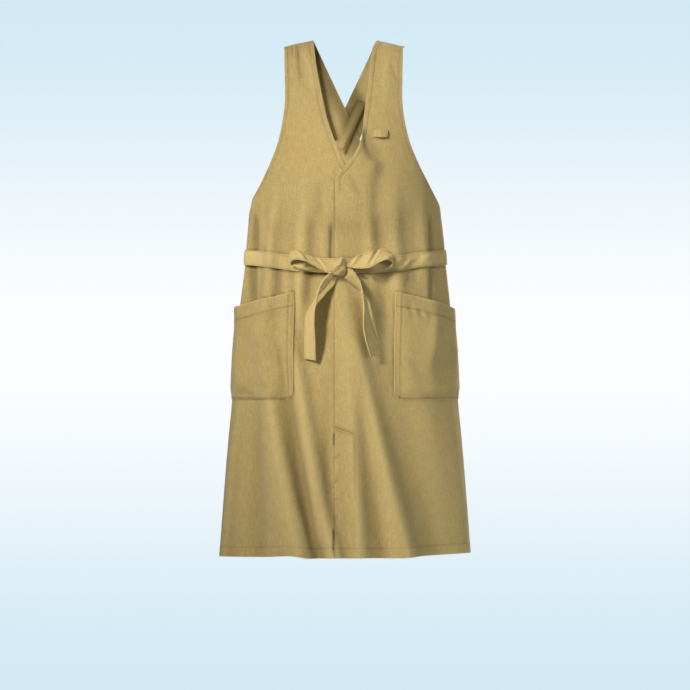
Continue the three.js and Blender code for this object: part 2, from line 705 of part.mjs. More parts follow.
const apron = new THREE.Group();
for (const [name, geometry, look] of pieces) {
  const mesh = new THREE.Mesh(geometry, new THREE.MeshStandardMaterial(look));
  mesh.name = name;
  apron.add(mesh);
}

export default apron;
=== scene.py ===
"""The looks of a cross back apron in its worn form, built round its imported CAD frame.

Everything is worked out in millimetres on the body's own surface, and each mesh is made in
metres. +Z is up, the front faces -Y, and left and right are as seen from the front.
"""

import math
from collections import namedtuple

import bpy
import numpy as np
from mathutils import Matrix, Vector


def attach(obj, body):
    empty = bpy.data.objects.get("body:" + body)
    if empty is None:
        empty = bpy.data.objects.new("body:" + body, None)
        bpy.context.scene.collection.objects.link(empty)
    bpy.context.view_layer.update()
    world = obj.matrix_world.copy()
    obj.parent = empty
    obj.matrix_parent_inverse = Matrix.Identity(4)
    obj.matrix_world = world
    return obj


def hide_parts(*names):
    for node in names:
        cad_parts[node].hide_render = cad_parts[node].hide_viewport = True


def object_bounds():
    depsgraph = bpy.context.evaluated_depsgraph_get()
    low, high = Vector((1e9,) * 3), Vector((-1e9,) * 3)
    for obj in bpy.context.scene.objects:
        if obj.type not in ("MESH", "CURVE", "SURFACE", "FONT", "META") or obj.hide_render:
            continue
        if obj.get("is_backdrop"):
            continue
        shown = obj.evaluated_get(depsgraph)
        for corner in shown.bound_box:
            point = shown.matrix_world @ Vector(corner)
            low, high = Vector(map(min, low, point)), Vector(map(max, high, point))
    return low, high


bl_info = {
    "name": "Cross Back Apron",
    "version": (1, 0, 0),
    "blender": (4, 5, 0),
    "location": "View3D > Sidebar > Apron",
    "description": "Builds the cloth, stitching and studio of a cross back apron",
    "category": "Add Mesh",
}

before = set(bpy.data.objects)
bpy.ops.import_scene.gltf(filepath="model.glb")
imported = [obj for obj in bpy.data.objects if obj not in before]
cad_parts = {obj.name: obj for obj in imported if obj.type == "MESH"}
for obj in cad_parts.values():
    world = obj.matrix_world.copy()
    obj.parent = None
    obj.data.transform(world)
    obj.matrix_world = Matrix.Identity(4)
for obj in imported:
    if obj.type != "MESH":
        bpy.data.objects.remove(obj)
CAD_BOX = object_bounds()
MM = 0.001

# Driving sizes in millimetres. The frame's solids have the same ones, but for the slant of the
# pockets' mouths and the bunching of the straps.
LENGTH = 979.0
HEM_HALF_WIDTH = 237.5
HEM_FRONT_DEPTH = 147.0
HEM_BACK_DEPTH = 140.0
NECK_HALF_WIDTH = 60.0
NECK_DEPTH = 240.0
SHOULDER_HALF_WIDTH = 115.0
SHOULDER_DROP = 13.0
ARMHOLE_DEPTH = 321.0
OVERLAP = 36.0
BACK_TOP_DEPTH = 392.0
BACK_GAP_TOP = 156.0
BACK_GAP_HEM = 124.0
LAYER_GAP = 0.8
SEAM_GAP = 0.3
STRAP_WIDTH = 46.0
STRAP_CROSSING = 125.0
STRAP_END = 400.0
STRAP_BUNCH = 0.02
KEEPER_WIDTH = 13.5
KEEPER_LENGTH = 103.0
KEEPER_TOP = 115.0
PEN_LOOP_WIDTH = 31.0
PEN_LOOP_HEIGHT = 13.6
PEN_LOOP_DEPTH = 172.0
PEN_LOOP_INSET = 51.0
PEN_LOOP_PROUD = 3.0
POCKET_DEPTH = 478.0
POCKET_HEIGHT = 202.0
POCKET_INSET = 94.0
POCKET_SLANT = 43.0
BELT_WIDTH = 28.0
BELT_DEPTH = 409.0
BELT_SAG = 20.0
SIDE_TURN = math.radians(84)
POCKET_END_TURN = math.radians(97)

# Sizes that space the grids, the weave, the puckers and the stitches: a pocket's width and the
# size of its corner, the length of a strap, how far in the stitches of straps and keeper are,
# the width of the part behind the side, and mean radii of the body, which turn an angle round
# it into a length.
POCKET_WIDTH = 150.0
POCKET_CORNER = 14.0
STRAP_RUN = 430.0
STRAP_HEM = 6.4
KEEPER_HEM = 1.7
BACK_RUN = 150.0
HEM_RADIUS = 190.0
WAIST_RADIUS = 170.0

# Rows of the body's grid at which its edges change course.
NECK_ROW = 8
LAP_ROW = 9
ARM_ROW = 10
WAIST_ROW = 13
HEM_ROW = 31


def table(kind, *rows):
    """Rows of a table, each with its columns named."""
    return [kind(*row) for row in rows]


# Sections of the body: depth as a share of LENGTH, half as a share of HEM_HALF_WIDTH, and
# front and back as shares of the two hem depths.
Section = namedtuple("Section", "depth half front back")
SECTIONS = table(
    Section,
    (0.031, 0.632, 0.286, 0.321),
    (0.061, 0.707, 0.422, 0.457),
    (0.153, 0.707, 0.653, 0.643),
    (0.204, 0.716, 0.735, 0.68),
    (0.255, 0.741, 0.789, 0.69),
    (0.328, 0.758, 0.803, 0.657),
    (0.386, 0.779, 0.748, 0.621),
    (0.44, 0.796, 0.755, 0.607),
    (0.503, 0.829, 0.803, 0.68),
    (0.596, 0.872, 0.864, 0.786),
    (0.688, 0.895, 0.905, 0.857),
    (0.782, 0.931, 0.939, 0.914),
    (0.875, 0.962, 0.966, 0.957),
    (1, 1, 1, 1),
)
RIDGE = (0.054, 0.057)
ARM_POINT = (0.17, 0.18)

# Folds of the skirt: the crest's place in degrees at the waist and at the hem, its half
# width in degrees, its height as a share of the fold height, the share of the skirt's
# length at which it starts, and how much steeper its right flank is than its left.
Fold = namedtuple("Fold", "waist hem width height start lean")
FOLDS = table(
    Fold,
    (-66, -71, 6.5, 0.4, 0.15, 0.2),
    (-58, -44, 8, -0.8, 0.1, 0.0),
    (-60, -20, 7.5, 1.1, 0.1, 0.4),
    (-45, -12, 5.2, -1.0, 0.1, 0.0),
    (-37, -6, 5.0, 1.0, -0.1, 0.3),
    (-12, -8, 3.5, -0.4, 0.35, 0.0),
    (-2, 7, 4.6, 0.65, 0.3, 0.25),
    (-1, 17, 4.5, -0.45, 0.3, 0.0),
    (-5, 29, 7.5, 1.05, -0.2, 0.3),
    (13, 47, 12.5, -0.65, -0.1, 0.0),
    (63, 73, 7, 0.4, 0.1, 0.2),
    (112, 116, 11, 0.5, 0.2, 0.0),
    (140, 146, 9, 0.45, 0.1, 0.0),
    (-112, -118, 12, 0.5, 0.1, 0.0),
    (-142, -148, 9, 0.45, 0.2, 0.0),
)

# Gathers above and at the belt: place and half width in degrees, and share of the height.
Gather = namedtuple("Gather", "turn width height")
GATHERS = table(
    Gather,
    (-72, 6, 1.2),
    (-47, 5, 1.4),
    (-25, 4.5, 1.2),
    (14.5, 4.5, 0.9),
    (31, 5.5, 1.0),
    (55, 7, 1.0),
    (78, 6, 0.7),
)

# Necklines, down each half: depth as a share of NECK_DEPTH, across of NECK_HALF_WIDTH.
NECKLINE_LEFT = [(0, 1), (0.2, 0.905), (0.39, 0.77), (0.6, 0.595), (0.78, 0.355), (1, 0)]
NECKLINE_RIGHT = [
    (0, 1), (0.07, 0.86), (0.32, 0.745), (0.58, 0.605), (0.77, 0.52), (0.85, 0.417), (1, 0.03),
]
# The armhole: depth down it, and across from the arm point to the side line, as shares.
ARMHOLE = [
    (0, 0), (0.32, -0.03), (0.445, 0.03), (0.57, 0.15), (0.69, 0.35), (0.815, 0.62),
    (0.94, 0.9), (1, 1),
]
# The back's top edge: along from the side line to the back edge, and down, as shares.
BACK_TOP = [(0, 0), (0.25, 0.5), (0.6, 0.86), (1, 1)]
# How far the hem rises or falls from level, in millimetres by millimetres across.
HEM_LINE = [(-240, 1), (-160, 1), (-105, 4), (-66, -1), (-25, 0), (105, 0), (152, 3.5), (240, 8)]
# How the belt sags towards the knot, by degrees from the centre front.
BELT_LINE = [(0, 1), (12, 0.95), (33, 0.68), (50, 0.35), (90, 0.1), (180, 0)]

# Creases of the front in millimetres: across from the centre line and depth down from the
# shoulder line at both ends, half width, and height, which is below zero in a valley.
Crease = namedtuple("Crease", "across depth to_across to_depth width height")
CREASES = table(
    Crease,
    # tucks and a drag line at the left shoulder seam
    (-96, 6, -95, 32, 2.2, 1.3),
    (-100, 8, -99, 28, 1.8, -0.9),
    (-91, 6, -83, 84, 4.0, -2.6),
    (-79, 3, -52, 110, 6.0, 2.8),
    # right shoulder
    (82, 6, 74, 140, 9.0, 1.4),
    (62, 12, 52, 80, 5.0, -1.2),
    # the hollow beside the pen loop, and the valley below it
    (30, 165, 58, 232, 10.0, -5.0),
    (34, 172, 46, 222, 6.0, -2.6),
    (84, 40, 102, 84, 3.0, -1.4),
    (48, 200, 78, 262, 12.0, -3.8),
    (68, 235, 50, 330, 12.0, -2.6),
    (50, 310, 66, 402, 10.0, -2.6),
    (3, 248, 32, 300, 6.0, -1.4),
    # left of the centre
    (-48, 262, -47, 345, 7.0, -1.6),
    (-25, 345, -26, 434, 4.5, -5.0),
    (-43, 350, -43, 424, 4.5, 1.4),
    (-84, 335, -85, 412, 8.0, 1.6),
    (-64, 340, -64, 412, 7.0, -1.6),
    # pinches at the belt, above and below it
    (-168, 325, -168, 412, 4.6, -6.0),
    (-151, 330, -150, 404, 7.0, 1.3),
    (-131, 340, -130, 408, 7.0, -2.0),
    (158, 328, 158.5, 414, 5.0, -5.5),
    (140, 325, 140, 402, 8.0, 1.5),
    (173, 330, 173, 402, 6.0, 1.4),
    (104, 310, 101, 402, 11.0, -1.4),
    (-173, 395, -171, 545, 5.5, -6.5),
    (-126, 400, -123, 500, 8.0, -3.0),
    (-84, 436, -83, 560, 6.5, 2.0),
    (-67, 420, -69, 510, 7.0, -3.0),
    (158, 405, 162, 510, 6.5, -4.4),
    (141, 428, 139, 460, 6.0, 1.3),
    (178, 428, 183, 500, 7.0, 1.5),
    (122, 446, 108, 472, 3.4, -1.5),
)

# Sewn and pressed lines of each half, as creases that keep their depth to their ends: the
# tucks of the left shoulder, the lines beside the pockets and under the pen loop, the tack where
# the necklines lap, and the slit with its double tack, its facing and its puckers. Valleys darken
# the cloth as painted shade, and beside the pockets and under the pen loop as painted shadow.
SEAMS = {
    "left": table(
        Crease,
        (-20.5, 744, -20.5, 766, 1.6, -1.2), (-22, 925, -21.5, 966, 1.8, -1.4),
        (-26, 424, -24, 452, 3.0, -0.8), (-100, 8, -98.5, 30, 1.9, -0.3),
        (-92.5, 6, -88, 34, 2.2, -0.35), (-92.2, 480, -92.2, 672, 1.5, -0.7),
        (-94, 476, -141, 487, 1.8, -0.7), (-141, 487, -184, 502, 2.4, -1.3),
    ),
    "right": table(
        Crease,
        (-18, 731.5, 16.5, 745, 1.5, -0.9), (-18, 736.6, 16.5, 750, 1.3, -0.5),
        (-14, 726, 14, 737.5, 3.4, 1.0), (17.5, 746, 17.5, 850, 1.5, -0.8),
        (18, 850, 18.5, 972, 1.5, -0.2), (-19, 791, -9, 784, 2.4, -0.5),
        (-19, 837, -11, 832, 2.2, -0.6), (-19, 871, -10, 864, 2.6, -0.35),
        (-19, 904, -12, 900, 2.2, -0.5), (-19, 936, -11, 930, 2.6, -0.35),
        (-14.5, 268, -13.5, 270, 1.3, -0.6), (1, 242, -16, 268, 1.0, -0.5),
        (50, 186.5, 84, 188.5, 1.2, -0.6), (92.2, 480, 92.2, 672, 1.5, -0.6),
        (94, 476, 141, 487, 1.8, -0.7), (141, 487, 190, 502, 2.0, -0.7),
    ),
}

# Painted shadows on the inner faces of the straps: dark bands along the left neck edge, beside
# the left strap's edge and round the keeper, in the columns of a crease. Here the height is how
# dark a band is.
STRAP_PAINTED_SHADOWS = {
    "left": table(
        Crease,
        (42, 117, 0, 213, 3.4, 2.8), (-14, 206, -8, 216, 1.6, 1.6),
        (24, 111, -15, 201, 1.2, 1.6), (-57.5, 2, -50.5, 44, 6.4, 2.6),
        (-50.5, 44, -41.5, 91, 6.4, 2.6), (-41.5, 91, -31, 141, 6.4, 2.6),
        (-31, 141, -17, 187, 6.4, 2.6),
    ),
    "right": table(
        Crease,
        (42, 117, 0, 213, 3.4, 2.8), (24, 111, -15, 201, 1.2, 1.5),
        (24, 110, 38, 117, 1.2, 1.5), (0, 122, 13, 150, 1.4, 1.8),
        (23, 168, 31, 186, 1.2, 1.6), (-12.5, 187, 7.5, 239, 5.6, 2.8),
        (2, 186, 6, 214, 3.4, 1.0),
    ),
}

# The loops of the bow, out from the knot to the tip and back again: across, the depths of
# the ribbon's upper and lower edge, and how far each stands off the belt.
Band = namedtuple("Band", "across top bottom top_off bottom_off")
LOOP_LEFT = table(
    Band,
    (-19, 429, 440, 11, 12), (-27.5, 424.5, 441.5, 11, 17), (-36, 420, 440.5, 10, 20),
    (-46.5, 416.5, 434.5, 9, 23), (-57, 413.5, 428.5, 8.5, 25),
    (-68.5, 409, 423, 8, 26), (-81.5, 402.5, 417.5, 7, 26),
    (-92, 399, 416.5, 5.5, 25), (-99.5, 400, 418.5, 4, 21),
    (-102.5, 403.5, 423, 4.2, 16), (-100, 407.5, 428, 5, 12.5),
    (-91, 412, 432, 5.6, 11), (-78, 416, 435.5, 5, 10.5), (-63, 420, 438.5, 3, 10),
    (-47.5, 423, 440.5, 2.5, 9), (-34, 426, 442, 3, 8), (-21, 430, 441, 4, 7),
)
LOOP_RIGHT = table(
    Band,
    (-6, 421.5, 432, 11, 12), (5, 418, 431, 11, 15), (17, 413, 433.2, 11, 19),
    (30, 407.5, 433.8, 12, 20), (42, 403.5, 432.5, 12, 21), (51.5, 401, 429.5, 11, 22),
    (61, 398.5, 423.5, 9, 24), (70.5, 397, 418.5, 7, 25), (80, 398.5, 417.5, 5, 23),
    (87, 404, 419, 3.5, 19), (90.5, 409.5, 423, 2.5, 15), (88.5, 413.5, 429, 2, 12),
    (81.5, 417, 433.5, 2, 10.5), (68.5, 418.5, 435.2, 2.4, 10), (51.5, 418, 435.5, 3.2, 9.5),
    (32, 417, 434.8, 3, 8.5), (13, 418, 433.5, 3, 7.5), (-3, 420, 432, 4, 7),
)

# The tails, down from the knot: the place of each edge, across and depth, and how far each
# stands off the skirt. The near edge is the one further out.
Strand = namedtuple("Strand", "near_across near_depth far_across far_depth near_off far_off")
TAIL_LEFT = table(
    Strand,
    (-24, 437, -17, 444, 14, 7), (-32, 444.5, -24, 454, 21, 8),
    (-40, 454.5, -32.5, 464, 26, 8), (-46.5, 466.5, -40.5, 473, 29, 7.5),
    (-51.5, 478, -49, 483.5, 31, 7), (-53.5, 490, -57, 493, 31, 6),
    (-55, 500.5, -64.5, 503.5, 31, 6), (-57, 512, -70.5, 515, 30, 6),
    (-58, 526.5, -74.5, 527.5, 29, 5.5), (-57.5, 545.5, -75.5, 545.5, 27, 4.5),
    (-56.5, 567, -76, 568, 22, 2.5), (-55.5, 587, -76.2, 587, 15, 1),
    (-55, 607.5, -76, 604, 8, 0),
)
TAIL_RIGHT = table(
    Strand,
    (1, 427, -7, 444, 13, 8), (13, 435, 0, 453, 20, 9),
    (21.5, 446, 10.5, 460, 25, 9), (28.5, 458.5, 20, 467.5, 29, 8.5),
    (31.5, 472, 28.5, 476, 31, 8), (32.5, 483.5, 37, 486, 31, 7),
    (35, 498, 41.5, 498, 29.5, 5.5), (35.7, 513, 44.7, 513, 28, 4.5),
    (34.8, 530, 48.6, 530, 26, 3.5), (35.1, 547, 54, 547, 23, 2.5),
    (38, 564, 60.8, 564, 20, 2), (43, 583, 67, 581.7, 15, 1),
    (49, 600.2, 69.5, 596.5, 10, 0.5),
)

# The knot: its outline as a radius in millimetres by degrees from the right, and its folds
# as lines over its face, each with its half width and height.
KNOT_ACROSS = -12.0
KNOT_DEPTH = 431.0
KNOT_THICKNESS = 23.0
KNOT_OUTLINE = [
    (0, 14.5), (25, 15.5), (50, 19), (66, 21.5), (78, 18.5), (100, 14.5), (130, 12.5),
    (160, 13.5), (190, 15.5), (212, 17.5), (235, 18.2), (262, 17.5), (285, 17.5), (310, 17),
    (335, 15.5), (360, 14.5),
]
KNOT_FOLDS = table(
    Crease,
    (-16, -8, 9, 14, 5.0, 2.2), (-12, -13, 13, 4, 1.6, -1.0),
    (-9, 1, 8, 18, 1.4, -1.0), (3, -17, 13, -8, 2.0, -1.4),
    (-16, 3, 0, 15, 1.2, -0.7), (3, 3, 8, 20, 2.0, 1.4),
)

Side = namedtuple("Side", "name sign neckline shoulder bunch")
LEFT = Side("left", -1, NECKLINE_LEFT, 1.0, STRAP_BUNCH)
RIGHT = Side("right", 1, NECKLINE_RIGHT, 0.955, -0.1)


def lerp(start, end, share):
    return start + (end - start) * share


def smooth(value, low, high):
    t = np.clip((value - low) / (high - low), 0, 1)
    return t * t * (3 - 2 * t)


def bump(distance, width):
    return np.exp(-((distance / width) ** 2))


def ripple(place, wave, seed):
    """An uneven wobble along a line, between about -1 and 1."""
    turns = 2 * math.pi * np.asarray(place, float) / wave
    waves = np.sin(turns + seed) + 0.6 * np.sin(turns / 0.618 + 1.7 * seed)
    return (waves + 0.5 * np.sin(turns / 1.73 + 2.9 * seed)) / 2.1


def curve_through(rows):
    """A smooth curve through the places and values of a table, which never swings past them."""
    places, values = np.array([*rows], float).T
    steps = np.diff(values) / np.diff(places)
    before, after = np.append(steps[:1], steps), np.append(steps, steps[-1:])
    with np.errstate(divide="ignore", invalid="ignore"):
        mean = 2 * before * after / (before + after)
    slopes = np.where(before * after > 0, mean, 0)

    def at(place):
        place = np.asarray(place, float)
        i = np.clip(np.searchsorted(places, place, side="left") - 1, 0, len(places) - 2)
        span = places[i + 1] - places[i]
        t = np.clip((place - places[i]) / span, 0, 1)
        start = (1 + 2 * t) * (1 - t) ** 2 * values[i] + t * (1 - t) ** 2 * span * slopes[i]
        end = t**2 * (3 - 2 * t) * values[i + 1] + t**2 * (t - 1) * span * slopes[i + 1]
        return start + end

    return at


DEPTHS = [0, SHOULDER_DROP, *(row.depth * LENGTH for row in SECTIONS)]


def profile(size, shoulder, shares):
    """A size of the body by depth, from the shoulder line's own sizes and the sections' shares."""
    return curve_through(zip(DEPTHS, [*shoulder, *(share * size for share in shares)]))


half_width = profile(
    HEM_HALF_WIDTH, (NECK_HALF_WIDTH, SHOULDER_HALF_WIDTH), (row.half for row in SECTIONS)
)
front_depth = profile(
    HEM_FRONT_DEPTH,
    (RIDGE[0] * HEM_FRONT_DEPTH, ARM_POINT[0] * HEM_FRONT_DEPTH),
    (row.front for row in SECTIONS),
)
back_depth = profile(
    HEM_BACK_DEPTH,
    (RIDGE[1] * HEM_BACK_DEPTH, ARM_POINT[1] * HEM_BACK_DEPTH),
    (row.back for row in SECTIONS),
)
belt_sag = curve_through(BELT_LINE)
hem_rise = curve_through(HEM_LINE)


def belt_depth(turn):
    return BELT_DEPTH + BELT_SAG * belt_sag(np.abs(np.degrees(turn)))


def fold_lift(turn, depth):
    """How far the folds and gathers lift the cloth off the plain oval section."""
    shape = bpy.context.scene.apron_shape
    degrees = np.degrees(turn)
    down = (depth - BELT_DEPTH) / (LENGTH - BELT_DEPTH)
    gathered = smooth(depth, NECK_DEPTH, BELT_DEPTH) * (1 - smooth(down, 0.03, 0.4))
    lift = np.zeros(np.broadcast(turn, depth).shape)
    for row in GATHERS:
        height = shape.gather_height / MM * row.height
        lift += height * gathered * bump(degrees - row.turn, row.width)
    for row in FOLDS:
        offset = degrees - lerp(row.waist, row.hem, down)
        width = row.width * np.where(offset > 0, 1 - row.lean, 1 + row.lean)
        risen = smooth(down, row.start, 1) ** 0.7
        lift += shape.fold_height / MM * row.height * risen * bump(offset, width)
    return lift


def crease_height(rows, across, depth, fade=0.3):
    """The height of a table of creases at places on a face. Each fades out at its ends."""
    height = np.zeros(np.broadcast(across, depth).shape)
    for row in rows:
        run = (row.to_across - row.across, row.to_depth - row.depth)
        length = math.hypot(*run)
        ahead = ((across - row.across) * run[0] + (depth - row.depth) * run[1]) / length**2
        beside = ((across - row.across) * run[1] - (depth - row.depth) * run[0]) / length
        ends = smooth(ahead, -0.05, fade) * (1 - smooth(ahead, 1 - fade, 1.05))
        height += row.height * ends * bump(beside, row.width)
    return height


def crease_lift(turn, depth):
    """The creases of the front. None of them rises under the belt."""
    across = half_width(depth) * np.sin(turn)
    height = crease_height(CREASES, across, depth) * (np.cos(turn) > 0)
    clear = smooth(np.abs(depth - belt_depth(turn)), 0.42 * BELT_WIDTH, 0.8 * BELT_WIDTH)
    soft = 0.35 * ripple(across + 0.4 * depth, 61, 1.3) * ripple(depth, 83, 0.4)
    height = height + soft
    return np.where(height > 0, height * clear, height)


def inner_point(turn, depth, creased=True):
    """A point of the body's inner face, at an angle round the body from the centre front."""
    turn, depth = np.broadcast_arrays(turn, depth)
    half = half_width(depth)
    reach = np.where(np.cos(turn) >= 0, front_depth(depth), back_depth(depth))
    out_x, out_y = reach * np.sin(turn), -half * np.cos(turn)
    size = np.hypot(out_x, out_y)
    lift = fold_lift(turn, depth)
    if creased:
        lift = lift + crease_lift(turn, depth)
    x = half * np.sin(turn) + out_x / size * lift
    y = -reach * np.cos(turn) + out_y / size * lift
    return np.stack([x, y, -depth], -1)


def unit(vectors):
    return vectors / np.linalg.norm(vectors, axis=-1, keepdims=True)


def outward_at(turn, depth, creased=True):
    side, step = 0.004, 0.5
    around = inner_point(turn + side, depth, creased) - inner_point(turn - side, depth, creased)
    above = np.maximum(depth - step, 0)
    down = inner_point(turn, depth + step, creased) - inner_point(turn, above, creased)
    return unit(np.cross(down, around))


def layer_point(turn, depth, height, creased=True):
    """A point at a height above the body's inner face."""
    outward = outward_at(turn, depth, creased)
    return inner_point(turn, depth, creased) + outward * np.asarray(height)[..., None]


def front_turn(across, depth):
    return np.arcsin(np.clip(across / half_width(depth), -1, 1))


def back_turn(across, depth):
    return math.pi - front_turn(across, depth)


def cloth_thickness():
    return bpy.context.scene.apron_shape.cloth / MM


def tie_thickness():
    return bpy.context.scene.apron_shape.tie / MM


def lap_lift(turn, depth):
    """The right half lies on the left one where they lap, and eases down beside the lap."""
    across = half_width(depth) * np.sin(turn)
    lap = cloth_thickness() + LAYER_GAP
    return lap * (1 - smooth(across, 0.5 * OVERLAP, 1.3 * OVERLAP))


def crest_height(turn, depth):
    """How far the cloth stands proud of the cloth beside it, below zero in a valley."""
    step = 0.05
    beside = fold_lift(turn - step, depth) + fold_lift(turn + step, depth)
    creases = crease_height(CREASES, half_width(depth) * np.sin(turn), depth) * (np.cos(turn) > 0)
    return np.clip(fold_lift(turn, depth) - 0.5 * beside + 1.1 * creases, -4, 4)


def flat_place(turn, depth):
    """The weave's place on the flat cloth: round the body and down it, in metres."""
    radius = 0.5 * (half_width(depth) + front_depth(depth))
    return np.stack([turn * radius, -depth + 0 * turn], -1) * MM


def graded(length, fine, pitch, ends=(True, True)):
    """Places along a length that crowd at its ends, where hems and stitches need them."""
    start = list(fine) if ends[0] else [0]
    end = [length - place for place in reversed(fine)] if ends[1] else [length]
    count = max(round((end[0] - start[-1]) / pitch), 1)
    return np.array([*start[:-1], *np.linspace(start[-1], end[0], count + 1), *end[1:]])


def both_ends(places, index):
    """A row or column, counted from the first one and from the last one."""
    return index, len(places) - 1 - index


def edge_relief(distance, along, hem, seed):
    """Height changes of the outer and inner face beside a folded and stitched edge."""
    folded = 1 - smooth(distance, hem - 0.4, hem + 1.4)
    stitched = bump(distance - hem, 1.0)
    pucker = ripple(along, 8, seed) * bump(distance - 0.7 * hem, 0.7 * hem)
    outer = 0.25 * folded - 0.5 * stitched + 0.25 * pucker
    # The mark is painted shade along the stitching, and a light line at the very edge, partly the edge worn
    # pale and partly a painted highlight on its roll.
    mark = 0.4 * bump(distance - hem, 1.2) - 0.6 * bump(distance, 1.1)
    return outer, -0.35 * folded + 0.12 * pucker, mark


def grid_quads(index, flipped=False):
    corners = (index[:-1, :-1], index[1:, :-1], index[1:, 1:], index[:-1, 1:])
    quads = np.stack(corners, -1).reshape(-1, 4)
    return quads[:, ::-1] if flipped else quads


def new_object(name, mesh, material):
    piece = bpy.data.objects.new(name, mesh)
    bpy.context.scene.collection.objects.link(piece)
    if material and not mesh.materials:
        mesh.materials.append(material)
    mesh.shade_smooth()
    return piece


def closed_cloth(name, outer, inner, places, marks, quads, material):
    """Two matching faces of cloth, closed by a wall along every open edge."""
    count = len(outer)
    starts, ends = quads, np.roll(quads, -1, axis=1)
    forward = (starts * count + ends).ravel()
    backward = (ends * count + starts).ravel()
    open_edges = ~np.isin(forward, backward)
    a, b = starts.ravel()[open_edges], ends.ravel()[open_edges]
    walls = np.stack([b, a, a + count, b + count], -1)
    faces = np.concatenate([quads, quads[:, ::-1] + count, walls]).astype(np.int32)
    points = np.concatenate([outer, inner]) * MM
    flat = np.concatenate([places, places])
    mesh = bpy.data.meshes.new(name)
    mesh.vertices.add(len(points))
    mesh.vertices.foreach_set("co", points.astype(np.float32).ravel())
    mesh.loops.add(faces.size)
    mesh.loops.foreach_set("vertex_index", faces.ravel())
    mesh.polygons.add(len(faces))
    mesh.polygons.foreach_set("loop_start", np.arange(0, faces.size, 4, dtype=np.int32))
    mesh.update(calc_edges=True)
    weave = mesh.uv_layers.new(name="weave")
    weave.data.foreach_set("uv", flat[faces.ravel()].astype(np.float32).ravel())
    # The seam attribute holds the marks: mostly painted shade, shadow and light, and at edges also the
    # cloth worn pale.
    seam = mesh.attributes.new("seam", "FLOAT", "POINT")
    seam.data.foreach_set("value", marks.T.astype(np.float32).ravel())
    return new_object(name, mesh, material)


stitch_lines = {"body": [], "straps": [], "pockets": [], "tie": []}


class Patch:
    """A grid of cloth with both its faces, which stitches can be taken from.

    Marks above zero darken the cloth with painted shade and shadow, and those below it lighten it
    with painted light and highlight, which at edges is partly also the cloth worn pale. The inner
    face has the same ones, unless under holds its own.
    """

    def __init__(self, outer, inner, places, marks, flipped=False, under=None):
        self.outer, self.inner, self.places = outer, inner, places
        under = marks if under is None else under
        both = [np.broadcast_to(mark, outer.shape[:2]) for mark in (marks, under)]
        self.marks = np.stack(both, -1)
        self.flipped = flipped

    def parts(self):
        grids = (self.outer, self.inner, self.places, self.marks)
        return [grid.reshape(-1, grid.shape[-1]) for grid in grids]

    def piece(self, name, material):
        rows, columns = self.outer.shape[:2]
        quads = grid_quads(np.arange(rows * columns).reshape(rows, columns), self.flipped)
        return closed_cloth(name, *self.parts(), quads, material)

    def sew(self, group, rows, columns, faces="outer"):
        """Lays stitches along a run of rows or columns, on the outer face, the inner or both."""
        outer, inner = self.outer[rows, columns], self.inner[rows, columns]
        outward = unit(outer - inner)
        if faces != "inner":
            stitch_lines[group].append((outer, outward))
        if faces != "outer":
            stitch_lines[group].append((inner, -outward))


def sewn_line(across, depth, proud):
    """Stitches on the front of the body, through places on it and over the lap."""
    turn = front_turn(across, depth)
    points = layer_point(turn, depth, cloth_thickness() + lap_lift(turn, depth) + proud)
    stitch_lines["body"].append((points, outward_at(turn, depth)))


# Places from an edge of the body, which crowd at its stitches. LAP_FINE goes on over the
# lap, and HEM_FINE is for the hem.
FINE = (0, 0.5, 1.3, 2.6, 4.4, 5.8, 6.8, 7.4, 8.0, 8.6, 9.6, 11.5, 14.5)
LAP_FINE = (*FINE, 17, 19.5, 22, 24.5, 27, 29.5, 31.5, 33, 34.2, 35.2, 36.2, 37.4, 39, 42)
HEM_FINE = (0, 0.6, 1.8, 4, 8, 13, 16.6, 17.8, 18.5, 19.2, 20.4, 23, 27)
EDGE_HEM = 8.0
EDGE_COLUMN = FINE.index(EDGE_HEM)
HEM_STITCH = HEM_FINE.index(18.5)


def body_rows():
    """Rows of a body half, close together at the shoulder, the back's top edge and the hem."""
    arm_rate = (BELT_DEPTH - ARMHOLE_DEPTH) / (WAIST_ROW - ARM_ROW)
    hem_rate = (LENGTH - BELT_DEPTH) / (HEM_ROW - WAIST_ROW)
    below_arm = ARM_ROW + np.array(FINE) / arm_rate
    vent = [WAIST_ROW + (depth - BELT_DEPTH) / hem_rate for depth in (724, 756)]
    return np.concatenate([
        np.linspace(0, 0.5, 8)[:-1],
        np.linspace(0.5, NECK_ROW, 62)[:-1],
        np.linspace(NECK_ROW, LAP_ROW, 9)[:-1],
        np.linspace(LAP_ROW, ARM_ROW, 10)[:-1],
        below_arm[:-1],
        np.linspace(below_arm[-1], WAIST_ROW, 20)[:-1],
        np.linspace(WAIST_ROW, vent[0], 76)[:-1],
        np.linspace(*vent, 24)[:-1],
        np.linspace(vent[1], HEM_ROW - HEM_FINE[-1] / hem_rate, 50)[:-1],
        HEM_ROW - np.array(HEM_FINE[::-1]) / hem_rate,
    ])


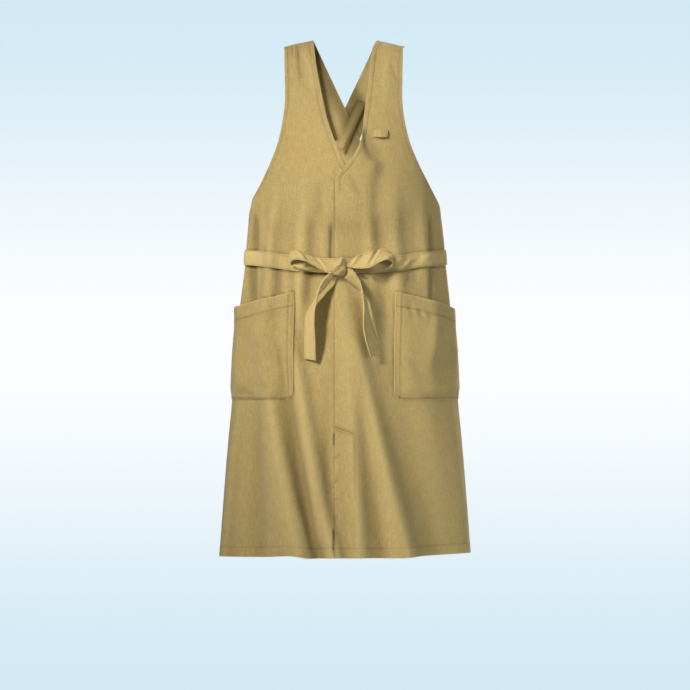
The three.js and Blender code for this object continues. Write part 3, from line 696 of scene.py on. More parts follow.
def body_half(side, material):
    """One half of the body, from its centre edge round the side to its back edge."""
    sign, cloth = side.sign, cloth_thickness()
    hem_depth = bpy.context.scene.apron_shape.hem / MM
    lap_end = NECK_DEPTH + 0.75 * OVERLAP
    necks = [(d * NECK_DEPTH, a * NECK_HALF_WIDTH) for d, a in side.neckline]
    neck_across = curve_through([*necks, (lap_end, -OVERLAP / 2), (LENGTH, -OVERLAP / 2)])
    side_across = half_width(ARMHOLE_DEPTH) * math.sin(SIDE_TURN)
    arm_across, arm_depth = SHOULDER_HALF_WIDTH * side.shoulder, SHOULDER_DROP * side.shoulder
    arms = [(lerp(arm_depth, ARMHOLE_DEPTH, d), lerp(arm_across, side_across, a)) for d, a in ARMHOLE]
    armhole_across = curve_through(arms)

    rows = body_rows()
    neck_depth = np.where(
        rows <= NECK_ROW,
        NECK_DEPTH * (np.minimum(rows, NECK_ROW) / NECK_ROW) ** 1.3,
        np.interp(
            rows, [NECK_ROW, LAP_ROW, WAIST_ROW, HEM_ROW], [NECK_DEPTH, lap_end, BELT_DEPTH, LENGTH]
        ),
    )
    side_depth = np.where(
        rows <= ARM_ROW,
        lerp(arm_depth, ARMHOLE_DEPTH, (np.minimum(rows, ARM_ROW) / ARM_ROW) ** 1.1),
        np.interp(rows, [ARM_ROW, WAIST_ROW, HEM_ROW], [ARMHOLE_DEPTH, BELT_DEPTH, LENGTH]),
    )
    in_turn = front_turn(neck_across(neck_depth), neck_depth)
    out_turn = np.where(
        rows >= ARM_ROW, SIDE_TURN, front_turn(armhole_across(side_depth), side_depth)
    )
    in_turn[0] = out_turn[0] = math.pi / 2
    width = np.linalg.norm(inner_point(out_turn, side_depth) - inner_point(in_turn, neck_depth), axis=1)
    width = width * lerp(1.0, 1.12, smooth(width, 60, 220))
    even, start = np.linspace(0, 1, 72), 0.4
    shares = np.stack([
        np.concatenate([
            np.array(LAP_FINE[:-1]) / w * lerp(start, 1, min(w / 90, 1)),
            lerp(LAP_FINE[-1] / w * lerp(start, 1, min(w / 90, 1)), 1 - FINE[-1] / w, even),
            1 - np.array(FINE[:-1][::-1]) / w,
        ])
        for w in width
    ])
    turn = lerp(in_turn[:, None], out_turn[:, None], shares)
    depth = lerp(neck_depth[:, None], side_depth[:, None], shares)
    from_neck = shares * width[:, None]
    from_arm = np.where(rows[:, None] < ARM_ROW, (1 - shares) * width[:, None], 99)
    from_arm = lerp(from_arm, 99, smooth(rows[:, None], ARM_ROW - 0.6, ARM_ROW))
    shift = np.zeros_like(turn)
    shift[0] = SEAM_GAP / 2

    keep = rows >= ARM_ROW
    down = ((side_depth - ARMHOLE_DEPTH) / (LENGTH - ARMHOLE_DEPTH))[keep][:, None]
    columns = graded(BACK_RUN, FINE, 3.6, (False, True))[1:] / BACK_RUN
    top = lerp(ARMHOLE_DEPTH, BACK_TOP_DEPTH, curve_through(BACK_TOP)(columns))[None, :]
    back_depths = lerp(top, LENGTH, down)
    edge_down = np.maximum((back_depths - BACK_TOP_DEPTH) / (LENGTH - BACK_TOP_DEPTH), 0)
    edge_turn = back_turn(lerp(BACK_GAP_TOP, BACK_GAP_HEM, edge_down) / 2, back_depths)
    back_turns = lerp(SIDE_TURN, edge_turn, columns[None, :])
    back_width = (edge_turn - SIDE_TURN) * 0.55 * (half_width(back_depths) + back_depth(back_depths))
    from_back = (1 - columns[None, :]) * back_width
    from_top = (back_depths - top) * 0.85

    def faces(turns, depths, edges, hem_along, pushed):
        hems = [edge_relief(LENGTH - depths, hem_along, hem_depth, 7.3)]
        for seed, (distance, along, share) in enumerate(edges):
            changes = edge_relief(distance, along, EDGE_HEM, seed + 3 + sign)
            hems.append([share * change for change in changes])
        out, into, mark = (sum(changes) for changes in zip(*hems))
        across = sign * half_width(depths) * np.sin(turns)
        facing = np.cos(turns) > 0
        # Sewn lines are pressed in, and their valleys darkened as painted shade.
        sewn = crease_height(SEAMS[side.name], across, depths, 0.04) * facing
        out, mark = out + sewn, mark - 0.9 * np.minimum(sewn, 0)
        lift = np.zeros_like(turns)
        if sign > 0:
            # Below its tack, the edge of the lap stands a little open.
            loose = smooth(depths, 735, 770) * (1 - smooth(depths, 960, 978) * 0.5)
            edge = 1 - smooth(across, -18, 4)
            parted = np.maximum(ripple(depths, 210, 2.1), 0) + 0.5
            lift = lap_lift(turns, depths) + 1.6 * loose * edge * parted * facing
        signed = sign * turns
        # Painted shade darkens the valleys of the folds and creases a little, and a painted
        # highlight lightens their crests.
        mark = mark - 0.13 * crest_height(signed, depths)
        # Painted shadow: a dark band on the body along both edges of the belt, darker below it.
        from_belt = np.abs(depths - belt_depth(turns)) - BELT_WIDTH / 2
        below_belt = depths > belt_depth(turns)
        mark = mark + np.where(below_belt, 0.9, 0.4) * bump(from_belt - 1.5, 2.4)
        # Painted shadow on the left half, along the edge of the right half's lap.
        if sign < 0:
            beside = bump(across + 0.5 * OVERLAP + 2, 1.4) * smooth(depths, NECK_DEPTH, 275)
            mark = mark + 0.45 * beside * facing
        outer = layer_point(signed, depths, cloth + lift + out)
        inner = layer_point(signed, depths, lift + into)
        for face in (outer, inner):
            face[..., 1] -= pushed
            face[..., 2] += hem_rise(face[..., 0]) * smooth(depths, 0.6 * LENGTH, LENGTH)
        return outer, inner, flat_place(signed, depths), mark

    neckline = 1 - smooth(depth, 272, 300)
    edges = [(from_neck, depth, neckline), (from_arm, depth, 1)]
    front = faces(turn, depth, edges, turn * HEM_RADIUS, shift)
    edges = [(from_back, back_depths, 1), (from_top, back_turns * HEM_RADIUS, 1)]
    back = faces(back_turns, back_depths, edges, back_turns * HEM_RADIUS, 0)
    front_patch, back_patch = Patch(*front, sign < 0), Patch(*back, sign < 0)

    front_index = np.arange(turn.size).reshape(turn.shape)
    back_index = turn.size + np.arange(back_turns.size).reshape(back_turns.shape)
    back_index = np.concatenate([front_index[keep][:, -1:], back_index], axis=1)
    quads = np.concatenate([grid_quads(front_index, sign < 0), grid_quads(back_index, sign < 0)])
    joined = [np.concatenate(pair) for pair in zip(front_patch.parts(), back_patch.parts())]
    piece = closed_cloth(f"apron_body_{side.name}", *joined, quads, material)

    edge_end = int(np.searchsorted(rows, NECK_ROW if sign < 0 else LAP_ROW - 0.2))
    arm_end = int(np.searchsorted(rows, ARM_ROW))
    hem_row = len(rows) - 1 - HEM_STITCH
    front_patch.sew("body", slice(1, edge_end), EDGE_COLUMN)
    front_patch.sew("body", slice(1, arm_end), turn.shape[1] - 1 - EDGE_COLUMN)
    front_patch.sew("body", hem_row, slice(2, None))
    back_patch.sew("body", hem_row - int(np.argmax(keep)), slice(None, -2))
    back_patch.sew("body", slice(6, None), back_turns.shape[1] - 1 - EDGE_COLUMN)
    back_patch.sew("body", EDGE_COLUMN, slice(None, -6))
    return piece


STRAP_SLOPE = math.atan(NECK_HALF_WIDTH / STRAP_CROSSING)


def strap_place(side, along, across):
    """A strap's place by its length and width: the turn round the body and the depth."""
    along, across = np.broadcast_arrays(along, across)
    neck_depth = STRAP_END * along**1.2
    settled = smooth(neck_depth, 0, 0.8 * STRAP_CROSSING)
    arm_across = SHOULDER_HALF_WIDTH * side.shoulder - NECK_HALF_WIDTH
    middle = KEEPER_TOP + 0.4 * KEEPER_LENGTH
    width = STRAP_WIDTH * (1 - side.bunch * bump(neck_depth - middle, 0.7 * KEEPER_LENGTH))
    over = across * lerp(arm_across, width * math.cos(STRAP_SLOPE), settled)
    drop = across * lerp(SHOULDER_DROP * side.shoulder, width * math.sin(STRAP_SLOPE), settled)
    depth = neck_depth + drop
    place = NECK_HALF_WIDTH * (1 - neck_depth / STRAP_CROSSING) + over
    turn = np.where(along == 0, math.pi / 2, back_turn(place, depth))
    return side.sign * turn, depth


def strap_height(side, depth):
    """A strap starts level with the body's cloth and eases in under it.

    The left one does so above the crossing, and the right one below it.
    """
    inside = -(cloth_thickness() + LAYER_GAP)
    if side.sign < 0:
        return inside * smooth(depth, 0.2 * STRAP_CROSSING, STRAP_CROSSING)
    return inside * smooth(depth, 2.1 * STRAP_CROSSING, 2.7 * STRAP_CROSSING)


def strap(side, material):
    """A shoulder strap, from the shoulder seam over to the back of the body."""
    edge = (0, 0.6, 1.6, 3.2, 5, 5.8, 6.4, 7, 8.2, 11)
    columns = graded(STRAP_WIDTH, edge, 3) / STRAP_WIDTH
    along, across = np.meshgrid(np.linspace(0, 1, 140), columns, indexing="ij")
    turn, depth = strap_place(side, along, across)
    height = strap_height(side, depth)
    from_edge = np.minimum(across, 1 - across) * STRAP_WIDTH
    out, into, mark = edge_relief(from_edge, along * STRAP_RUN, STRAP_HEM, 2.2 + side.sign)
    soft = 0.5 * ripple(along * STRAP_RUN + 20 * across, 70, 0.9 + side.sign) * bump(across - 0.5, 0.4)
    mark = 0.6 * mark
    crumpled = smooth(depth, 205, 225) * (1 - smooth(depth, 265, 300))
    soft = soft + 1.3 * crumpled * ripple(0.6 * depth + 46 * across, 31, 0.5) * bump(across - 0.5, 0.45)
    outer = layer_point(turn, depth, height + cloth_thickness() + out * 0.5 + soft, False)
    inner = layer_point(turn, depth, height + into * 0.5 + soft, False)
    # The inner faces get the painted shadow bands, and are lightened all over as painted light.
    under = mark + crease_height(STRAP_PAINTED_SHADOWS[side.name], inner[..., 0], depth, 0.04) - 1.1
    shift = np.where(along == 0, SEAM_GAP / 2, 0)
    for face in (outer, inner):
        face[..., 1] += shift
    places = np.stack([across * STRAP_WIDTH, -along * STRAP_RUN], -1) * MM
    patch = Patch(outer, inner, places, mark, side.sign > 0, under)
    for column in both_ends(columns, edge.index(STRAP_HEM)):
        patch.sew("straps", slice(2, -3), column, "both")
    return patch.piece(f"shoulder_strap_{side.name}", material)


def strap_keeper(material):
    """The band on the inside of the right strap that the left strap runs through."""

    def span_of(depth):
        middle = 0.5 * STRAP_WIDTH * math.sin(STRAP_SLOPE)
        return ((depth - middle) / STRAP_END) ** (1 / 1.2)

    start = span_of(KEEPER_TOP)
    end = span_of(KEEPER_TOP + KEEPER_LENGTH * math.cos(STRAP_SLOPE))
    half = 0.5 * KEEPER_WIDTH / STRAP_WIDTH
    edge = (0, 0.4, 1.1, 1.7, 2.2, 2.8, 4)
    columns = graded(KEEPER_WIDTH, edge, 1.4) / KEEPER_WIDTH
    rows = graded(KEEPER_LENGTH, (0, 0.4, 1.2, 2.4, 3.4, 4.6), 2) / KEEPER_LENGTH
    along, across = np.meshgrid(rows, columns, indexing="ij")
    share = lerp(0.5 - half, 0.5 + half, across)
    turn, depth = strap_place(RIGHT._replace(bunch=0.0), lerp(start, end, along), share)
    bow = smooth(along, 0.03, 0.28) * (1 - smooth(along, 0.89, 0.99))
    cloth = cloth_thickness()
    height = lerp(-SEAM_GAP, -(cloth + LAYER_GAP) - 2.8, bow) - cloth
    from_edge = np.minimum(across, 1 - across) * KEEPER_WIDTH
    crown = 0.35 * smooth(from_edge, 0, 3) - 0.2 * bump(from_edge - KEEPER_HEM, 0.5)
    outer = layer_point(turn, depth, height + cloth, False)
    inner = layer_point(turn, depth, height - crown, False)
    places = np.stack([across * KEEPER_WIDTH, -along * KEEPER_LENGTH], -1) * MM
    from_end = np.minimum(along, 1 - along) * KEEPER_LENGTH
    # Painted shade along the stitching and across the ends, a light line at each edge, partly worn and
    # partly painted highlight, and the whole band lightened as painted light.
    mark = 0.9 * bump(from_edge - 1.9, 0.6) - 1.0 * bump(from_edge, 0.9) + 0.8 * bump(from_end - 2.4, 0.8)
    mark = 1.4 * mark - 1.3
    patch = Patch(outer, inner, places, mark, True)
    for column in both_ends(columns, edge.index(KEEPER_HEM)):
        patch.sew("straps", slice(2, -2), column, "inner")
    for row in both_ends(rows, 3):
        patch.sew("straps", row, slice(1, -1), "inner")
    return patch.piece("strap_keeper_band", material)


def pen_loop(material):
    """The small band on the right chest, sewn down at both ends."""
    rows = graded(PEN_LOOP_HEIGHT, (0, 0.4, 1.2, 2, 3), 1.4) / PEN_LOOP_HEIGHT
    columns = graded(PEN_LOOP_WIDTH, (0, 0.4, 1.2, 2, 2.8, 4), 1.2) / PEN_LOOP_WIDTH
    down, along = np.meshgrid(rows, columns, indexing="ij")
    depth = PEN_LOOP_DEPTH + PEN_LOOP_HEIGHT * down + 1.2 * along
    turn = front_turn(PEN_LOOP_INSET + PEN_LOOP_WIDTH * along, depth)
    rise = smooth(along, 0.0, 0.25) * (1 - smooth(along, 0.9, 1.0))
    height = cloth_thickness() + lerp(SEAM_GAP, PEN_LOOP_PROUD, rise)
    height = height + 0.5 * rise * bump(down - 0.95, 0.3)
    sewn = bump((along - 0.84) * PEN_LOOP_WIDTH, 0.9) + bump((along - 0.07) * PEN_LOOP_WIDTH, 0.8)
    outer = layer_point(turn, depth, height + cloth_thickness() - 0.3 * sewn)
    inner = layer_point(turn, depth, height)
    places = np.stack([along * PEN_LOOP_WIDTH, -down * PEN_LOOP_HEIGHT], -1) * MM
    # Painted shade along the stitching and over the right end, and a painted highlight across the middle.
    mark = 0.7 * sewn - 0.7 * bump(along - 0.38, 0.12) + 1.1 * smooth(along, 0.93, 0.97)
    patch = Patch(outer, inner, places, mark)
    for share in (0.07, 0.84, 0.93):
        column = int(np.argmin(np.abs(columns - share)))
        patch.sew("body", slice(1, -1), column)
    return patch.piece("pen_loop_band", material)


# The creases of the pockets, from their inner edge and down from their mouth.
POCKET_CREASES = {
    "left": table(
        Crease,
        (60, 40, 25, 120, 11, 4.4), (95, 30, 50, 150, 10, -3.6),
        (30, 25, 12, 80, 8, -2.8), (110, 90, 60, 185, 11, 4.0),
        (70, 150, 20, 185, 9, -2.8), (28, 90, 14, 175, 8, 3.0),
    ),
    "right": table(
        Crease,
        (20, 8, 24, 62, 4.0, -1.2), (50, 10, 48, 60, 5.0, -1.0),
        (16, 21, 22, 34, 3.0, -1.5), (25, 22, 30, 36, 3.0, 1.2),
        (32, 22, 38, 38, 3.0, -1.7), (41, 24, 46, 38, 3.0, 1.1),
        (49, 25, 54, 37, 3.0, -1.2),
        (60, 30, 45, 140, 11, 4.0), (95, 40, 70, 160, 11, -3.2),
        (20, 110, 45, 180, 10, -2.8), (110, 60, 95, 180, 11, 3.4),
    ),
}
# How far the mouths stand open.
POCKET_GAP = {"left": 6.0, "right": 2.5}
# How far in the stitches are, at the mouth and in the two rows along the inner edge.
POCKET_MOUTH_HEM = 25.0
POCKET_STITCHES = (2.0, 7.2)


def pocket(side, material):
    """A patch pocket with a slanted mouth, sewn down at its inner edge and its bottom."""
    width, corner = POCKET_WIDTH, POCKET_CORNER
    first, second = POCKET_STITCHES
    edge = (0, 0.6, 1.4, 2.0, 2.6, 4, 5.6, 6.6, 7.2, 7.8, 9.4, 12)
    columns = graded(width, edge, 2.6, (True, False)) / width
    mouth_fine = (0, 0.7, 1.8, 4, 9, 16, 22, 24.2, 25, 25.8, 28, 32)
    mouth_rows = graded(POCKET_HEIGHT, mouth_fine, 3.2, (True, False))
    bottom = POCKET_HEIGHT - np.array([7, 4, 2.8, 2.2, 1.6, 0.7, 0])
    rows = np.concatenate([mouth_rows[mouth_rows < POCKET_HEIGHT - 9], bottom]) / POCKET_HEIGHT
    down, along = np.meshgrid(rows, columns, indexing="ij")
    run = along * width
    rounded = np.maximum(corner - run, 0)
    lost = corner - np.sqrt(corner**2 - rounded**2)
    mouth = POCKET_DEPTH + POCKET_SLANT * along
    foot = POCKET_DEPTH + POCKET_HEIGHT - lost
    depth = lerp(mouth, foot, down)
    turn = lerp(front_turn(POCKET_INSET, depth), POCKET_END_TURN, along)
    below = depth - mouth
    above = foot - depth
    sewn = np.minimum(run, above)
    seat = lerp(SEAM_GAP + 0.1, LAYER_GAP, smooth(sewn, 0, 9))
    bulge = 2.5 * np.sin(math.pi * along) * np.cos(0.5 * math.pi * down)
    gap = POCKET_GAP[side.name] * bump(along - 0.66, 0.22) * (1 - smooth(below, 0, 42))
    relief = crease_height(POCKET_CREASES[side.name], run, below) * smooth(sewn, 3, 25)
    height = cloth_thickness() + seat + bulge + gap + np.maximum(relief + 3.0 * smooth(sewn, 3, 25), 0)
    hem = 1 - smooth(below, POCKET_MOUTH_HEM - 0.5, POCKET_MOUTH_HEM + 1)
    out = 0.2 * hem - 0.35 * bump(below - POCKET_MOUTH_HEM, 1)
    out = out - 0.3 * bump(sewn - first, 0.8) - 0.22 * bump(run - second, 0.8)
    pucker = 0.2 * ripple(depth, 9, 1.1) * bump(run - 4, 5) + 0.2 * ripple(run, 9, 4.1) * bump(above - 3, 5)
    face = height + cloth_thickness() + out + pucker
    outer = layer_point(side.sign * turn, depth, face, False)
    inner = layer_point(side.sign * turn, depth, height, False)
    # Painted shade along the stitching, darkest along the bottom, and along the mouth's hem; light lines at
    # the edges, partly worn and partly painted highlight.
    mark = np.where(above < run, 1.0, 0.35) * bump(sewn - first, 0.9)
    mark = mark + 0.6 * bump(run - second, 0.8) - 1.0 * bump(sewn, 0.9)
    mark = mark + 0.6 * bump(below - POCKET_MOUTH_HEM, 1.1) - 1.1 * bump(below, 1.4)
    patch = Patch(outer, inner, flat_place(side.sign * turn, depth), mark, side.sign < 0)
    for row, column in (
        (slice(1, -5), edge.index(first)), (slice(1, -7), edge.index(second)),
        (mouth_fine.index(POCKET_MOUTH_HEM), slice(3, None)), (len(rows) - 5, slice(4, None)),
        (mouth_fine.index(22), slice(3, 9)), (1, slice(3, 9)),
    ):
        patch.sew("pockets", row, column)
    return patch.piece(f"pocket_{side.name}_patch", material)


# Places across the tie, which crowd at its stitched edges.
TIE_EDGE = (0, 0.5, 1.3, 2, 2.7, 4)
TIE_HEM = 2.0
TIE_STITCH = TIE_EDGE.index(TIE_HEM)
# The creases of the belt: degrees from the centre front, and millimetres across it.
BELT_CREASES = table(
    Crease,
    (-68, -14, -63, 14, 3.0, 1.6), (-57, -14, -60, 12, 2.6, -1.1),
    (-47, -12, -50, 14, 3.0, 1.2), (-40, -14, -42, 10, 2.6, -0.9),
    (-30, -12, -27, 12, 4.0, 1.0), (25, -12, 28, 12, 4.0, 1.2),
    (38, -14, 31, 14, 1.5, -1.6), (41, -6, 34, 14, 2.0, 1.8),
    (49, -12, 42, 14, 1.7, -1.7), (53, -10, 49, 14, 2.4, 1.7),
    (61, -14, 57, 12, 1.8, -1.2), (68, -12, 70, 12, 3.0, 1.5),
    (95, -12, 100, 12, 5.0, 1.0), (130, -12, 124, 12, 5.0, 1.0),
    (-95, -12, -100, 12, 5.0, 1.0), (-128, -12, -132, 12, 5.0, 1.0),
)


def belt_height(turn, depth):
    across = half_width(depth) * np.sin(turn)
    lap = lap_lift(np.maximum(turn, 0), depth) * smooth(across, -1.1 * OVERLAP, -0.55 * OVERLAP)
    return cloth_thickness() + LAYER_GAP + np.where(np.cos(turn) > 0, lap, 0)


def waist_belt(material):
    """The tie round the waist, whose ends meet behind the knot."""
    knot_turn = -math.asin(6 / float(half_width(BELT_DEPTH + BELT_SAG)))
    gap = math.radians(0.5)
    rows = graded(BELT_WIDTH, TIE_EDGE, 2) / BELT_WIDTH
    down, along = np.meshgrid(rows, np.linspace(0, 1, 420), indexing="ij")
    turn = knot_turn + lerp(gap, 2 * math.pi - gap, along)
    turn = np.where(turn > math.pi, turn - 2 * math.pi, turn)
    middle = belt_depth(turn)
    depth = middle + BELT_WIDTH * (down - 0.5)
    across = BELT_WIDTH * (down - 0.5)
    relief = crease_height(BELT_CREASES, np.degrees(turn), across)
    relief = np.maximum(relief + 0.7 + 0.3 * ripple(np.degrees(turn), 23, 0.8), 0)
    from_edge = np.minimum(down, 1 - down) * BELT_WIDTH
    stitched = 0.25 * bump(from_edge - TIE_HEM, 0.7)
    height = belt_height(turn, middle) + relief * smooth(from_edge, -4, 10)
    outer = layer_point(turn, depth, height + tie_thickness() - stitched, False)
    inner = layer_point(turn, depth, height, False)
    places = np.stack([turn * WAIST_RADIUS, -across], -1) * MM
    # Painted shade along the stitching, light edges that are partly worn and partly painted highlight, a
    # painted highlight at the left end, and the whole belt a little lighter as painted light.
    mark = 0.7 * bump(from_edge - TIE_HEM, 0.7) - 0.6 * bump(from_edge, 0.7)
    mark = mark - 0.9 * bump(np.degrees(turn) + 71, 15) - 0.25
    patch = Patch(outer, inner, places, mark)
    for row in both_ends(rows, TIE_STITCH):
        patch.sew("tie", row, slice(4, -4))
    return patch.piece("waist_tie", material)


def belt_face(across):
    """How far forward the belt's outer face is at a place across the front."""
    turn = front_turn(across, BELT_DEPTH)
    depth = belt_depth(turn)
    height = belt_height(turn, depth) + tie_thickness() + 0.7
    return -layer_point(turn, depth, height, False)[..., 1]


def spline(points, count):
    """A smooth curve through the points, with even steps between each pair of them."""
    points = np.asarray(points, float)
    padded = np.concatenate([[2 * points[0] - points[1]], points, [2 * points[-1] - points[-2]]])
    places = np.linspace(0, len(points) - 1, count)
    i = np.minimum(places.astype(int), len(points) - 2)
    t = (places - i)[:, None]
    a, b, c, d = padded[i], padded[i + 1], padded[i + 2], padded[i + 3]
    return 0.5 * (
        2 * b + (c - a) * t + (2 * a - 5 * b + 4 * c - d) * t**2 + (3 * b - a - 3 * c + d) * t**3
    )


def ribbon(name, first_edge, second_edge, crown, waviness, painted_light, seed, material):
    """A length of the tie between two edges, stitched along both, and its run."""
    count = 12 * len(first_edge)
    first, second = spline(first_edge, count), spline(second_edge, count)
    shares = graded(BELT_WIDTH, TIE_EDGE, 2) / BELT_WIDTH
    middle = first[:, None] + (second - first)[:, None] * shares[None, :, None]
    along = np.gradient(middle, axis=0)
    across = np.gradient(middle, axis=1)
    normal = unit(np.cross(along, across))
    steps = np.linalg.norm(np.diff(middle[:, len(shares) // 2], axis=0), axis=1)
    run = np.append(0, np.cumsum(steps))[:, None]
    bowed = crown * 4 * shares * (1 - shares)
    wave = ripple(run + 22 * shares[None, :], 25, seed) * smooth(run, 0, 18)
    relief = bowed[None, :] + waviness * wave * (1 - 0.5 * shares[None, :])
    from_edge = np.minimum(shares, 1 - shares) * BELT_WIDTH
    stitched = 0.22 * bump(from_edge - TIE_HEM, 0.7)[None, :]
    half = tie_thickness() / 2 - stitched
    outer = middle + normal * (relief + half)[..., None]
    inner = middle + normal * (relief - half)[..., None]
    places = np.stack(np.broadcast_arrays(shares[None, :] * BELT_WIDTH, -run), -1) * MM
    # Painted shade along the stitching, light edges that are partly worn and partly painted highlight, and
    # painted light over the whole ribbon.
    mark = 0.8 * bump(from_edge - TIE_HEM, 0.7) - 0.9 * bump(from_edge, 0.7) - painted_light
    patch = Patch(outer, inner, places, mark)
    for column in both_ends(shares, TIE_STITCH):
        patch.sew("tie", slice(8, -2), column, "both")
    return patch.piece(name, material), float(run[-1, 0])


def bow_loop(name, rows, seed, material):
    """A loop of the bow, and its run in millimetres."""
    tops, bottoms = [], []
    for row in rows:
        face = float(belt_face(row.across))
        tops.append((row.across, -face - row.top_off, -row.top))
        bottoms.append((row.across, -face - row.bottom_off, -row.bottom))
    # The loops are lightened a little as painted light.
    return ribbon(name, tops, bottoms, 1.2, 1.9, 0.25, seed, material)


def tie_tail(name, rows, painted_light, seed, material):
    """A tail of the tie, and its run in millimetres."""
    near, far = [], []
    for row in rows:
        for edge, across, depth, off in (
            (near, row.near_across, row.near_depth, row.near_off),
            (far, row.far_across, row.far_depth, row.far_off),
        ):
            face = -float(inner_point(front_turn(across, depth), depth, False)[1])
            edge.append((across, -face - 4 - off, -depth))
    return ribbon(name, near, far, 0.6, 0.5, painted_light, seed, material)


def bow_knot(material):
    """The knot: the tie wound once round itself, with its folds drawn up to the right."""
    outline = curve_through(KNOT_OUTLINE)
    rings, segments = 60, 110
    tilt = np.linspace(0, math.pi, rings)[1:-1]
    angle = np.linspace(0, 2 * math.pi, segments, endpoint=False)
    tilts, angles = np.meshgrid(tilt, angle, indexing="ij")
    radius = outline(np.degrees(angles) % 360) * np.sin(tilts) ** 0.72
    x, z = radius * np.cos(angles), radius * np.sin(angles)
    face = np.maximum(np.cos(tilts), -0.75)
    fold = crease_height(KNOT_FOLDS, x, z) * smooth(np.cos(tilts), -0.2, 0.5)
    y = -0.5 * KNOT_THICKNESS * face - fold
    seat = -float(belt_face(KNOT_ACROSS)) - 0.4 * KNOT_THICKNESS
    ring = np.stack([x + KNOT_ACROSS, y + seat, z - KNOT_DEPTH], -1).reshape(-1, 3)
    poles = np.array([
        (KNOT_ACROSS, ring[:segments, 1].mean(), -KNOT_DEPTH),
        (KNOT_ACROSS, ring[-segments:, 1].mean(), -KNOT_DEPTH),
    ])
    points = np.concatenate([ring, poles]) * MM
    index = np.arange(len(ring)).reshape(len(tilt), segments)
    index = np.concatenate([index, index[:, :1]], axis=1)
    faces = [tuple(int(i) for i in quad) for quad in grid_quads(index)]
    front, behind = len(ring), len(ring) + 1
    faces += [(front, int(b), int(a)) for a, b in zip(index[0, :-1], index[0, 1:])]
    faces += [(behind, int(a), int(b)) for a, b in zip(index[-1, :-1], index[-1, 1:])]
    mesh = bpy.data.meshes.new("tie_knot")
    mesh.from_pydata([tuple(p) for p in points], [], faces)
    mesh.update()
    flat = np.concatenate([
        np.stack([(x + z).ravel(), (z - x).ravel()], -1), [[0, 0], [0, 0]]
    ]) * MM * 0.7
    loops = np.zeros(len(mesh.loops), dtype=np.int32)
    mesh.loops.foreach_get("vertex_index", loops)
    weave = mesh.uv_layers.new(name="weave")
    weave.data.foreach_set("uv", flat[loops].astype(np.float32).ravel())
    return new_object("tie_knot", mesh, material)


class Flow:
    """A value in a node tree that Python's operators work on. Each one adds a Math node."""

    def __init__(self, nodes, socket):
        self.nodes, self.socket = nodes, socket

    def _maths(self, operation, *values):
        return self.nodes.add("ShaderNodeMath", {"operation": operation}, values)

    def __add__(self, other):
        return self._maths("ADD", self, other)

    def __sub__(self, other):
        return self._maths("SUBTRACT", self, other)

    def __mul__(self, other):
        return self._maths("MULTIPLY", self, other)

    def __rsub__(self, other):
        return self._maths("SUBTRACT", other, self)

    __radd__, __rmul__ = __add__, __mul__

    def sine(self):
        return self._maths("SINE", self)

    def size(self):
        return self._maths("ABSOLUTE", self)


class Nodes:
    """A node tree under construction, with one method that adds any node."""

    def __init__(self, tree):
        self.tree = tree

    def add(self, kind, settings=None, values=(), output=0):
        """Adds a node with its settings, then its inputs, and gives one of its outputs."""
        node = self.tree.nodes.new(kind)
        for key, value in (settings or {}).items():
            setattr(node, key, value)
        pairs = values.items() if isinstance(values, dict) else enumerate(values)
        for key, value in pairs:
            self.link(node.inputs[key], value)
        return Flow(self, node.outputs[output]) if node.outputs else None

    def link(self, socket, value):
        if isinstance(value, Flow):
            self.tree.links.new(value.socket, socket)
        else:
            socket.default_value = value

    def blend(self, factor, start, end):
        """A colour between two others."""
        node = self.tree.nodes.new("ShaderNodeMix")
        node.data_type = "RGBA"
        for name, value in (("Factor_Float", factor), ("A_Color", start), ("B_Color", end)):
            socket = next(s for s in node.inputs if s.identifier == name)
            self.link(socket, value)
        return Flow(self, next(s for s in node.outputs if s.identifier == "Result_Color"))


class Finish(Nodes):
    """A material under construction."""

    def __init__(self, name):
        self.material = bpy.data.materials.new(name)
        self.material.use_nodes = True
        super().__init__(self.material.node_tree)
        self.shader = self.tree.nodes["Principled BSDF"]

    def noise(self, place, scale, detail=2.0, rough=0.5):
        values = {"Vector": place, "Scale": scale, "Detail": detail, "Roughness": rough}
        return self.add("ShaderNodeTexNoise", {}, values)

    def yarns(self, across, down, detail=2.0):
        """Noise drawn out along the cloth, from its place across and down times a scale."""
        return self.noise(self.add("ShaderNodeCombineXYZ", {}, (across, down, 0.0)), 1.0, detail)

    def solid(self):
        return self.add("ShaderNodeTexCoord", {}, (), "Object")

    def within(self, value, low, high):
        return self.add("ShaderNodeClamp", {}, (value, low, high))

    def shade(self, **values):
        for key, value in values.items():
            self.link(self.shader.inputs[key.replace("_", " ")], value)
        return self.material


def toned(colour, share):
    """A colour made darker or lighter by a share."""
    return [*(share * part for part in colour[:3]), 1]


